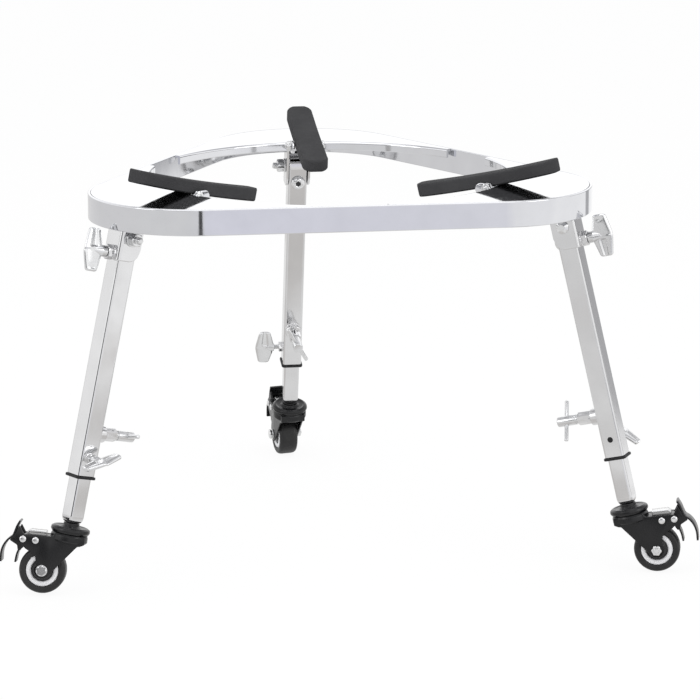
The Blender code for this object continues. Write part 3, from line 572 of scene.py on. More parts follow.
class Finish(Enum):
    """The finishes of the stand's pieces."""

    CHROME = Plating("polished_chrome", (0.69, 0.695, 0.715), (0.64, 0.645, 0.665), 0.04, 0.045, 0.03)
    TUBE_CHROME = Plating("tube_chrome", (0.70, 0.70, 0.705), (0.645, 0.645, 0.65), 0.08, 0.07, 0.03, 55.0)
    CAST_CHROME = Plating("cast_chrome", (0.72, 0.725, 0.73), (0.60, 0.60, 0.605), 0.15, 0.08, 0.03, 110.0)
    ZINC = Plating("bright_zinc", (0.74, 0.745, 0.75), (0.60, 0.60, 0.60), 0.14, 0.09, 0.02, 110.0)
    COATED_STEEL = Moulding("black_coat", (0.005, 0.0052, 0.006), (0.02, 0.02, 0.022), 0.2, 1500.0, 0.012, 0.25,
                            0.0, 0.36)
    BLACK_PLASTIC = Moulding("black_plastic", (0.008, 0.008, 0.009), (0.03, 0.03, 0.032), 0.42, 2200.0, 0.015, 0.3,
                             0.0, 0.3)
    TYRE = Moulding("tyre_rubber", (0.009, 0.009, 0.0095), (0.04, 0.039, 0.038), 0.42, 1300.0, 0.05, 0.35, 0.02, 0.4)
    # The pad's last number, 0.2, paints shade on its underside.
    PAD_RUBBER = Moulding("pad_rubber", (0.046, 0.046, 0.048), (0.078, 0.078, 0.081), 0.8, 1900.0, 0.10, 0.3,
                          0.0, 0.1, 0.2)
    RIM_GREY = Moulding("grey_hub", (0.72, 0.72, 0.73), (0.58, 0.58, 0.57), 0.34, 1800.0, 0.012, 0.25)
    # Painted shade: a near-black finish that stands for the shade in the hub's recess and in the hex socket.
    PAINTED_RECESS_SHADE = Moulding("painted_recess_shade", (0.03, 0.03, 0.032), (0.07, 0.07, 0.07), 0.40, 1800.0, 0.02, 0.3)


class Workshop:
    """Dresses pieces and CAD nodes in finishes, and reports them."""

    def __init__(self) -> None:
        """Starts with no finish made."""
        self._made: dict[Finish, bpy.types.Material] = {}

    def finish(self, finish: Finish) -> bpy.types.Material:
        """The material of a finish, made once."""
        if finish not in self._made:
            self._made[finish] = finish.value.material()
        return self._made[finish]

    def mount(self, piece: bpy.types.Object, finish: Finish, body: str, node: str) -> bpy.types.Object:
        """Finishes a new piece that stands for a CAD node.

        Args:
            piece: The new piece.
            finish: Its finish.
            body: The body that it rides on.
            node: The CAD node that it replaces.

        Returns:
            The piece.
        """
        piece.data.materials.clear()
        piece.data.materials.append(self.finish(finish))
        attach(piece, body)
        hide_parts(node)
        log.info("made %s for %s on %s", piece.name, node, body)
        return piece

    def detail(self, piece: bpy.types.Object, finish: Finish, body: str, slot: str) -> bpy.types.Object:
        """Finishes a new piece that is added beside the CAD nodes."""
        piece.data.materials.clear()
        piece.data.materials.append(self.finish(finish))
        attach(piece, body)
        log.info("added %s on %s", piece.name, body)
        return piece

    def coat(self, node: str, finish: Finish) -> None:
        """Gives a CAD node its finish."""
        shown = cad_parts[node]
        for slot in shown.material_slots:
            slot.material = self.finish(finish)
        if not shown.material_slots:
            shown.data.materials.append(self.finish(finish))
        log.info("finished %s in %s", node, finish.name)


@dataclass
class Ring:
    """The hoop of flat bar: a rounded bar section carried round a rounded triangle."""

    workshop: Workshop
    place: StandFrame
    corner_centre: float = 184.5 * MM
    corner_radius: float = 113 * MM
    height: float = 28 * MM
    thickness: float = 3 * MM
    edge: float = 1.1 * MM
    corner_spans: int = 48

    def outline(self) -> tuple[Array, Array]:
        """The outer face's path: three arcs of 120 degrees about the corner centres.

        Returns:
            The points, and the outward direction at each.
        """
        azimuth = np.array([side.azimuth for side in Side])[:, None]
        span = np.radians(np.linspace(-60, 60, self.corner_spans + 1))
        span = np.concatenate([[span[0] - 1e-4], span, [span[-1] + 1e-4]])
        angle = azimuth + span[None]
        outward = np.stack([np.cos(angle), np.sin(angle)], axis=-1)
        centre = np.stack([np.cos(azimuth), np.sin(azimuth)], axis=-1) * self.corner_centre
        return (centre + outward * self.corner_radius).reshape(-1, 2), outward.reshape(-1, 2)

    def build(self) -> None:
        """Carries the bar's rounded section round the outline."""
        points, outward = self.outline()
        half = self.height / 2
        corners = np.array([[0, -half], [0, half], [-self.thickness, half], [-self.thickness, -half]])
        section = filleted(corners, self.edge, 4, 0.25 * MM)
        level = self.place.ring_top - half
        flat = points[:, None] + outward[:, None] * section[None, :, :1]
        height = np.broadcast_to(level + section[None, :, 1], flat.shape[:2])
        grid = np.concatenate([flat, height[..., None]], axis=-1)
        band = Form("hoop_bar").add(grid, self.place.axis()).build()
        self.workshop.mount(band, Finish.CHROME, "ring_frame", "ring_band")


@dataclass
class CornerPlate:
    """The crescent in a corner of the ring: a plate with its inner edge bent down, and two ears for a pad."""

    workshop: Workshop
    place: StandFrame
    side: Side
    drum_circle: float = 198 * MM
    thickness: float = 2.5 * MM
    lip_depth: float = 10 * MM
    lip_thickness: float = 3 * MM
    half_angle: float = math.radians(50.2)
    corner_centre: float = 184.5 * MM
    corner_radius: float = 109.7 * MM

    def edge(self) -> tuple[Array, Array]:
        """The outer edge, which follows the ring.

        With t the angle from the corner's middle, the reach is c cos t + sqrt(r r - c c sin t sin t) on the
        corner's arc, and apothem / cos(60 degrees - t) on the straight sides.

        Returns:
            The angles and the reach at each.
        """
        angle = np.linspace(-self.half_angle, self.half_angle, 121)
        centre, radius = self.corner_centre, self.corner_radius
        arc = centre * np.cos(angle) + np.sqrt(radius ** 2 - (centre * np.sin(angle)) ** 2)
        side = (centre / 2 + radius) / np.cos(np.pi / 3 - np.abs(angle))
        turning = math.atan2(radius * math.sin(math.pi / 3), centre + radius / 2)
        return angle, np.where(np.abs(angle) <= turning, arc, side)

    def skin(self) -> Array:
        """The plate: its rounded section is carried along the edge, and the outer points follow the reach."""
        inner, step = self.drum_circle, 20 * MM
        corners = np.array([(inner, 0), (inner + step, 0), (inner + step, -self.thickness),
                            (inner + self.lip_thickness, -self.thickness),
                            (inner + self.lip_thickness, -self.lip_depth), (inner, -self.lip_depth)])
        section = filleted(corners, np.array([2.4, 0.4, 0.4, 0.8, 1.2, 1.2]) * MM, 4, 0.2 * MM)
        angle, reach = self.edge()
        outer = section[:, 0] > inner + step / 2
        radius = section[None, :, 0] + (reach[:, None] - inner - step) * outer[None]
        angle = angle[:, None]
        height = np.broadcast_to(section[None, :, 1], radius.shape)
        return np.stack([radius * np.cos(angle), radius * np.sin(angle), self.place.ring_top + height], axis=-1)

    def build(self) -> None:
        """Makes the plate and its ears."""
        corner = self.place.corner(self.side)
        pad = DrumPad(self.workshop, self.place, self.side)
        turn = np.radians(np.linspace(78, 258, 15))
        lobe = np.stack([-7.8 + 6.6 * np.cos(turn), -1.6 + 6.6 * np.sin(turn)], axis=-1)
        root = np.array([(0, -9.2), (9, -9.2), (9, 2.0), (5.6, 2.0), (3.4, 5.0)])
        outline = np.concatenate([lobe, root]) * MM
        plate = Form(f"crescent_{self.side.label}").add(self.skin(), corner, False, True, True)
        near = pad.width / 2 + pad.ear_gap
        for low, high in ((near, near + pad.ear), (-near - pad.ear, -near)):
            plate.plate(outline, low, high, 0.7 * MM, pad.frame())
        self.workshop.mount(plate.build(), Finish.CHROME, "ring_frame", f"corner_plate_{self.side.label}")


@dataclass
class DrumPad:
    """A soft rubber pad on its steel strip: a bar with round ends that is bent a little upward."""

    workshop: Workshop
    place: StandFrame
    side: Side
    pivot_radius: float = 190.5 * MM
    pivot_height: float = 412.8 * MM
    slope: float = math.radians(13.3)
    bend: float = math.radians(1.6)
    length: float = 163 * MM
    width: float = 29 * MM
    thickness: float = 14 * MM
    shift: float = -5.5 * MM
    rise: float = 8.8 * MM
    end_radius: float = 12.5 * MM
    edge: float = 2.3 * MM
    ear_gap: float = 0.8 * MM
    ear: float = 2.5 * MM

    def body(self) -> str:
        """The body that the pad moves with."""
        return f"pad_{self.side.label}"

    def frame(self) -> Matrix:
        """The pad's frame, on its pivot."""
        return self.place.corner(self.side) @ shifted(self.pivot_radius, 0, self.pivot_height)

    def sloped(self, along: Array, across: Array) -> tuple[Array, Array]:
        """Turns distances along and square to the pad's slope into X and Z about the pivot."""
        cosine, sine = math.cos(self.slope), math.sin(self.slope)
        return ((self.shift + along) * cosine - across * sine,
                self.rise + (self.shift + along) * sine + across * cosine)

    def middle(self, along: Array) -> Array:
        """How far the pad's middle line stands off its slope: a parabola that dips in the middle."""
        return self.length / 4 * math.tan(self.bend) * (2 * (2 * along / self.length) ** 2 - 1)

    def surface(self) -> Array:
        """The pad's skin.

        Stations run along the length, closer near the ends. At each, the half width is drawn in by the
        circle of the end's corner, the half height by the circle of the soft edge, and the section is a
        rectangle with rounded corners and slightly crowned faces.

        Returns:
            A grid of stations by section points.
        """
        half = self.length / 2
        along = half * np.sin(np.linspace(-1, 1, 81) * np.pi / 2)
        corner = np.clip(np.abs(along) - (half - self.end_radius), 0, self.end_radius)
        wide = self.width / 2 - self.end_radius + np.sqrt(np.maximum(self.end_radius ** 2 - corner ** 2, 0))
        brim = np.clip(np.abs(along) - (half - self.edge), 0, self.edge)
        tall = self.thickness / 2 - self.edge + np.sqrt(np.maximum(self.edge ** 2 - brim ** 2, 0))
        quarter = np.arange(4)[:, None]
        turn = np.radians(90 * quarter + np.linspace(0, 90, 7)[None])
        arc = np.stack([np.cos(turn), np.sin(turn)], axis=-1)
        sign = np.sign(np.stack([np.cos(turn[:, 3:4]), np.sin(turn[:, 3:4])], axis=-1)) + 0 * arc
        size = np.maximum(np.stack([wide, tall], axis=-1)[:, None] - self.edge, 0.2 * MM)
        section = sign.reshape(-1, 2)[None] * size + arc.reshape(-1, 2)[None] * self.edge
        crown = 0.35 * MM * (1 - (section[..., 0] / (self.width / 2)) ** 2) * np.sign(section[..., 1])
        x, z = self.sloped(along[:, None] + 0 * crown, section[..., 1] + crown + self.middle(along)[:, None])
        return np.stack([x, section[..., 0], z], axis=-1)

    def build(self) -> None:
        """Makes the rubber and the steel that it turns on."""
        label = self.side.label
        pad = Form(f"drum_pad_{label}").add(self.surface(), self.frame(), False, True, True).build(60)
        self.workshop.mount(pad, Finish.PAD_RUBBER, self.body(), f"pad_rubber_{label}")
        self.hinge()

    def hinge(self) -> None:
        """Makes the strip, its sleeve, and the cross pin with its socket head, washer, nut and rounded end."""
        label, frame_here = self.side.label, self.frame()
        along = np.linspace(-55, 55, 23) * MM
        lower = np.stack(self.sloped(along, self.middle(along) - self.thickness / 2 + 0.3 * MM), axis=-1)
        steel = Form(f"pad_steel_{label}")
        steel.plate(ribbon(lower, 2.3 * MM), -10 * MM, 10 * MM, 0.5 * MM, frame_here)
        shoulder = self.width / 2 + 0.3 * MM
        axis = frame_here @ turned_to((0, 1, 0))
        steel.turn(lathe_line(np.array([(0, -shoulder), (4.6 * MM, -shoulder), (4.6 * MM, shoulder),
                                        (0, shoulder)]), 0.5 * MM), axis)
        face = self.width / 2 + self.ear_gap + self.ear + 0.25 * MM
        pin = frame_here @ turned_to((0, self.side.nut_side, 0))
        line = np.array([(0, -shoulder), (3, -shoulder), (3, -face), (5.1, -face), (5.1, -face - 1.4 * MM),
                         (3.6, -face - 3.0 * MM)])
        line[:, 0] *= np.array([1, MM, MM, MM, MM, MM])
        sides = np.array([(1.9 * MM, -face - 2.9 * MM, 1), (1.9 * MM, -face - 1.2 * MM, 1), (0, -face - 1.2 * MM, 0)])
        head = np.concatenate([np.column_stack([line, np.zeros(6)]), sides])
        steel.turn(head, pin)
        steel.turn(lathe_line(np.array([(0, face), (5.6 * MM, face), (5.6 * MM, face + 1.0 * MM),
                                        (0, face + 1.0 * MM)]), 0.3 * MM), pin)
        steel.turn(nut_rows(10 * MM, 4.8 * MM, face + 0.9 * MM), pin)
        steel.add(threaded(3 * MM, 1.0 * MM, face + 5.4 * MM, 1.6 * MM), pin, True, False)
        steel.turn(lathe_line(np.array([(0, face + 6.4 * MM), (2.7 * MM, face + 6.4 * MM), (2.6 * MM, face + 7.3 * MM),
                                        (0, face + 7.7 * MM)]), 0.6 * MM), pin)
        self.workshop.mount(steel.build(), Finish.ZINC, self.body(), f"pad_hinge_{label}")


@dataclass(frozen=True)
class WingScrew:
    """A wing screw along +Z, with its lobes along X."""

    shank: float
    tip: float
    hub_start: float
    lobe_start: float
    scale: float
    pitch: float
    span: float = 46 * MM
    thickness: float = 6.0 * MM

    def lobes(self) -> Array:
        """The two lobes as one skin.

        Stations s run from tip to tip, closer near the tips. The two edges are straight lines in |s| with a
        rounded bend in the middle, and the tips close with a quarter circle. With v from -1 to 1 across a
        lobe, the face stands (1 - |v|^3.5)^(1 / 3.5) of the half thickness off the middle. One face of each
        lobe loses a steep trough, 1.9 exp(-(v / 0.36)^4) millimetres. The other face slopes a little towards
        its edges and has a shallow dish near the tip. The second lobe has them the other way round.

        Returns:
            A grid of stations by section points.
        """
        scale, half = self.scale, self.span / 2
        where = half * np.sin(np.linspace(-1, 1, 73) * np.pi / 2)
        reach = np.abs(where) / half
        bend = (np.sqrt(reach ** 2 + 0.03) - 0.173) / 0.842
        high, low = 21.3 - 4.2 * bend, -2.0 + 5.4 * bend
        close = np.sqrt(1 - np.clip((reach - 0.9) / 0.1, 0, 1) ** 2)
        middle, size = (high + low) / 2 * MM * scale, (high - low) / 2 * MM * scale * (0.62 + 0.38 * close)
        thick = (self.thickness * scale / 2 * (0.3 + 0.7 * close))[:, None]
        turn = np.linspace(0, 2 * np.pi, 72, endpoint=False)[None]
        across = np.cos(turn)
        face = np.sign(np.sin(turn)) * (1 - np.abs(across) ** 3.5) ** 0.286
        way = np.sign(where)[:, None]
        hollow = way * face < 0
        opened = np.clip((np.abs(where) / scale - 3.2 * MM) / (1.6 * MM), 0, 1)[:, None]
        trough = 1.9 * opened * np.exp(-(across / 0.36) ** 4)
        dish = 0.8 * np.exp(-((reach[:, None] - 0.8) / 0.13) ** 2 - ((across + 0.1) / 0.5) ** 2)
        roof = thick * 0.3 * across ** 2
        depth = np.where(hollow, trough * MM * scale, roof + dish * MM * scale)
        y = thick * face - np.sign(face) * np.minimum(depth, thick * np.abs(face) * 0.9)
        z = self.lobe_start + middle[:, None] + size[:, None] * across
        return np.stack([np.broadcast_to((where * scale)[:, None], y.shape), y, z], axis=-1)

    def form(self, name: str, place: Matrix) -> Form:
        """Makes the screw: thread, tapered hub and lobes."""
        hub = self.shank + 2.2 * MM * self.scale
        neck = self.thickness / 2 * self.scale + 0.4 * MM
        top = self.lobe_start + 12 * MM * self.scale
        line = np.array([(0, self.hub_start), (hub, self.hub_start), (hub - 0.2 * MM, self.lobe_start),
                         (neck, top - 3 * MM), (0, top)])
        piece = Form(name).add(self.lobes(), place, False, True, True)
        piece.turn(lathe_line(line, np.array([0, 0.7, 3, 3, 0]) * MM), place)
        piece.add(threaded(self.shank, self.pitch, self.tip, self.hub_start + 0.4 * MM - self.tip), place, True, False)
        return piece


@dataclass
class Leg:
    """One leg above its caster: bracket, bolts, telescoping tubes, collar and the three screws."""

    workshop: Workshop
    place: StandFrame
    side: Side
    outer_side: float = 22 * MM
    outer_length: float = 256.5 * MM
    inner_side: float = 18 * MM
    clamp_drop: float = 17.5 * MM
    t_drop: float = 211 * MM
    wing_drop: float = 237 * MM
    web: float = 14.5 * MM
    nut_end: float = 22.1 * MM

    def at(self, drop: float, direction: tuple[float, float, float], turn: float = 0.0) -> Matrix:
        """A place on the leg's axis with +Z along a direction, turned about it."""
        return self.place.leg(self.side) @ shifted(z=-drop) @ turned_to(direction) @ Matrix.Rotation(turn, 4, "Z")

    def mount(self, form: Form, finish: Finish, body: str, kind: str) -> None:
        """Hands a finished form to the workshop in place of this leg's node of a kind."""
        label = self.side.label
        self.workshop.mount(form.build(), finish, body, f"{kind}_{label}")

    def named(self, name: str) -> Form:
        """An empty form with the leg's label."""
        return Form(f"{name}_{self.side.label}")

    def build(self) -> None:
        """Makes every piece of the leg."""
        self.bracket()
        self.pivot_bolt()
        self.outer_tube()
        self.inner_tube()
        self.barrel()
        self.screws()

    def bracket(self) -> None:
        """The saddle: a strip bent to a U, with its lower corners round, and a nut welded over its hole.

        The strip's path runs in along one ear, across the web and out along the other. At each point of the
        path a rounded section stands between the foot's height and the height just under the plate.
        """
        ear = np.linspace(-13, 11, 13)[:-1]
        turn = np.radians(np.linspace(-90, 0, 7))
        bend = np.stack([11 + 3.5 * np.cos(turn), -10.5 + 3.5 * np.sin(turn)], axis=-1)
        half = np.concatenate([np.stack([ear, np.full(12, -14.0)], axis=-1), bend, [(14.5, -10.2), (14.5, -5)]])
        path = np.concatenate([half, half[::-1] * (1, -1)]) * MM
        step = np.gradient(path, axis=0)
        step /= np.linalg.norm(step, axis=1)[:, None]
        inward = np.stack([-step[:, 1], step[:, 0]], axis=-1)
        x = path[:, :1]
        foot = np.where(x < 0, -11.5 * MM - np.sqrt(np.maximum((13 * MM) ** 2 - x ** 2, 0)), -24.5 * MM)
        under = self.place.ring_top - 2.9 * MM - self.place.pivot_height
        top = (under - x * math.sin(self.place.splay)) / math.cos(self.place.splay)
        tall = 30 * MM
        corners = np.array([(0, 0), (0, tall), (2.6 * MM, tall), (2.6 * MM, 0)])
        section = filleted(corners, 0.8 * MM, 3, 0.15 * MM)
        level = np.where(section[None, :, 1] > tall / 2, top + section[None, :, 1] - tall, foot + section[None, :, 1])
        flat = path[:, None] + inward[:, None] * section[None, :, :1]
        grid = np.concatenate([flat, level[..., None]], axis=-1)
        out = self.at(self.clamp_drop, (1, 0, 0))
        saddle = self.named("saddle").add(grid, self.place.leg(self.side), False, True, True)
        saddle.turn(nut_rows(14 * MM, 7.5 * MM, self.web - 0.3 * MM), out)
        saddle.add(bead(7.4 * MM, 0.8 * MM), out @ shifted(z=self.web))
        self.mount(saddle, Finish.TUBE_CHROME, "ring_frame", "leg_bracket")

    def pivot_bolt(self) -> None:
        """The bolt that the leg folds on: low domed head, shank, washer, nut, threaded end."""
        face = 14.3 * MM
        place = self.at(0.0, (0, 1, 0))
        bolt = self.named("fold_bolt")
        line = np.array([(0, -face - 3.3 * MM), (3.6 * MM, -face - 3.2 * MM), (7.2 * MM, -face - 1.2 * MM),
                         (7.2 * MM, -face), (4 * MM, -face), (4 * MM, face), (8.2 * MM, face),
                         (8.2 * MM, face + 1.7 * MM), (0, face + 1.7 * MM)])
        bolt.turn(lathe_line(line, np.array([0, 2, 1.2, 0.3, 0, 0, 0.3, 0.3, 0]) * MM), place)
        bolt.turn(nut_rows(13 * MM, 8 * MM, face + 1.6 * MM), place)
        bolt.add(threaded(4 * MM, 1.25 * MM, face + 9.2 * MM, 4.4 * MM), place, True, False)
        end = np.array([(0, face + 12.6 * MM), (3.7 * MM, face + 12.6 * MM), (3.2 * MM, face + 14.2 * MM),
                        (2.2 * MM, face + 15 * MM), (0, face + 15 * MM)])
        bolt.turn(lathe_line(end, 0.5 * MM), place)
        self.mount(bolt, Finish.ZINC, "ring_frame", "pivot_bolt")

    def outer_tube(self) -> None:
        """The outer tube, with its top cut round about the pivot, and its two welded nuts."""
        side, low = self.outer_side, -self.outer_length
        levels = np.array([(low + 12 * MM, side - 3 * MM, 1.2 * MM), (low + 0.2 * MM, side - 3 * MM, 1.2 * MM),
                           (low, side - 2.6 * MM, 1.4 * MM), (low, side - 0.6 * MM, 2.3 * MM),
                           (low + 0.3 * MM, side, 2.6 * MM), (-2 * MM, side, 2.6 * MM), (11 * MM, side, 2.6 * MM),
                           (11 * MM, side - 3 * MM, 1.2 * MM), (-40 * MM, side - 3 * MM, 1.2 * MM)])
        skin = square_skin(levels, 14)
        top = np.sqrt(np.maximum((side / 2) ** 2 - skin[..., 0] ** 2, 0))
        skin[..., 2] = np.minimum(skin[..., 2], top)
        tube = self.named("outer_leg").add(skin, self.place.leg(self.side), False, True)
        half = side / 2
        inward = self.at(self.t_drop, (-1, 0, 0))
        boss = np.array([(0, half - 0.5 * MM), (9.4 * MM, half - 0.5 * MM), (9.2 * MM, half + 7.6 * MM), (0, half + 7.8 * MM)])
        tube.turn(lathe_line(boss, np.array([0, 0, 0.9, 0]) * MM), inward)
        tube.turn(nut_rows(12.4 * MM, 16 * MM, half + 7.4 * MM), inward)
        tube.add(bead(9.3 * MM, 0.75 * MM), inward @ shifted(z=half))
        sideways = self.at(self.wing_drop, (0, 1, 0))
        tube.turn(nut_rows(10 * MM, 5.2 * MM, half - 0.3 * MM), sideways)
        tube.add(bead(5.3 * MM, 0.6 * MM), sideways @ shifted(z=half))
        self.mount(tube, Finish.TUBE_CHROME, f"leg_{self.side.label}", "outer_tube")
        # Painted shade: a black domed plug fills the tube's open sight hole to stand for the shade inside it.
        plug = np.array([(0, half + 0.5 * MM), (2.0 * MM, half + 0.4 * MM), (3.2 * MM, half + 0.1 * MM),
                         (3.3 * MM, half - 0.5 * MM), (0, half - 0.6 * MM)])
        hole_shade_plug = self.named("sight_hole_shade").turn(lathe_line(plug, 0.6 * MM), self.at(self.wing_drop, (0, -1, 0)), 32)
        label = self.side.label
        self.workshop.detail(hole_shade_plug.build(), Finish.BLACK_PLASTIC, f"leg_{label}", f"end_collar_{label}")
        self.collar()

    def collar(self) -> None:
        """The thin black collar: a rounded section carried round a rounded square."""
        low = -self.outer_length - 3.3 * MM
        corners = np.array([(0, 0), (0, 3), (3, 3), (3, 0)]) * MM
        section = filleted(corners, np.array([0.9, 0.9, 0.4, 0.4]) * MM, 3, 0.1 * MM)
        levels = np.column_stack([low + section[:, 1], 25 * MM - 2 * section[:, 0], np.maximum(3.4 * MM - section[:, 0], 0.8 * MM)])
        ring = self.named("guide_collar").add(square_skin(levels), self.place.leg(self.side))
        self.mount(ring, Finish.BLACK_PLASTIC, f"leg_{self.side.label}", "end_collar")

    def inner_tube(self) -> None:
        """The inner tube, whose lower end is rounded off like a forged tip."""
        low, side = -self.place.leg_end(self.side), self.inner_side
        turn = np.linspace(0, np.pi / 2, 9)
        height = low + 8 * MM * (1 - np.cos(turn))
        wide = side - 5.6 * MM * (1 - np.sin(turn)) ** 1.2
        corner = 2.6 * MM + 1.6 * MM * (1 - np.sin(turn))
        tip = np.column_stack([height, wide, corner])
        upper = np.array([(low + 8.6 * MM, side, 2.6 * MM), (low + 219 * MM, side, 2.6 * MM),
                          (low + 219 * MM, side - 3 * MM, 1.1 * MM), (low + 190 * MM, side - 3 * MM, 1.1 * MM)])
        skin = square_skin(np.concatenate([tip, upper]))
        tube = self.named("inner_leg").add(skin, self.place.leg(self.side), False, True, True)
        self.mount(tube, Finish.TUBE_CHROME, f"lower_leg_{self.side.label}", "inner_tube")

    def barrel(self) -> None:
        """The barrel screw's button head with its deep hex socket, whose bottom holds a near-black plug of painted
        shade, and its plain shank.
        """
        head = self.outer_side / 2 + 0.3 * MM
        place = self.at(self.clamp_drop, (-1, 0, 0))
        turn = np.radians(np.linspace(8, 62, 9))
        dome = np.column_stack([8.4 * MM * np.cos(turn), head + 0.6 * MM + 4.9 * MM * np.sin(turn) ** 1.15, 0 * turn])
        socket = np.array([(3.0, 4.5, 1), (2.8, 4.2, 1), (2.8, 1.0, 1), (0, 0.6, 0)]) * (MM, MM, 1) + (0, head, 0)
        rows = np.concatenate([[(0, -head + 1 * MM, 0), (4 * MM, -head + 1 * MM, 0), (4 * MM, head, 0),
                                (8.2 * MM, head, 0), (8.4 * MM, head + 0.4 * MM, 0)], dome, socket])
        barrel = self.named("button_screw").turn(rows, place)
        label = self.side.label
        self.mount(barrel, Finish.ZINC, f"leg_{label}", "barrel_screw")
        # Painted shade: a near-black hex plug at the bottom of the socket stands for the shade in the recess.
        floor = np.array([(0, head + 1.0 * MM, 0), (2.95 * MM, head + 1.0 * MM, 1), (2.95 * MM, head + 2.6 * MM, 1), (0, head + 1.2 * MM, 0)])
        self.workshop.detail(self.named("socket_painted_shade").turn(floor, place).build(), Finish.PAINTED_RECESS_SHADE,
                             f"leg_{label}", f"barrel_screw_{label}")

    def screws(self) -> None:
        """The clamp wing screw, the T-handle height screw and the side wing screw."""
        label = self.side.label
        clamp = WingScrew(4 * MM, 11.3 * MM, self.nut_end, self.nut_end + 6 * MM, 1.0, 1.25 * MM)
        self.mount(clamp.form(f"clamp_wing_{label}", self.at(self.clamp_drop, (1, 0, 0), self.side.clamp_turn)),
                   Finish.CAST_CHROME, f"clamp_{label}", "clamp_screw")
        small = WingScrew(3 * MM, 9.3 * MM, 21.6 * MM, 23.4 * MM, 0.95, 1.0 * MM)
        self.mount(small.form(f"side_wing_{label}", self.at(self.wing_drop, (0, 1, 0), self.side.wing_turn)),
                   Finish.CAST_CHROME, f"wing_lock_{label}", "wing_screw")
        place = self.at(self.t_drop, (-1, 0, 0))
        line = np.array([(0, 9.3), (4, 9.3), (4, 34.7), (4.9, 34.7), (4.9, 36.7), (5.6, 36.7), (5.6, 58.4), (0, 58.4)]) * MM
        handle = self.named("height_handle").turn(lathe_line(line, np.array([0, 0.4, 0, 0.3, 0, 0.5, 1.3, 0]) * MM), place)
        half, bar = 23.8 * MM, self.side.height_turn
        cross = place @ shifted(z=48.6 * MM) @ turned_to((math.cos(bar), math.sin(bar), 0))
        handle.turn(lathe_line(np.array([(0, -half), (2.3 * MM, -half), (2.3 * MM, half), (0, half)]), 0.9 * MM), cross, 32)
        self.mount(handle, Finish.CAST_CHROME, f"height_lock_{label}", "height_screw")


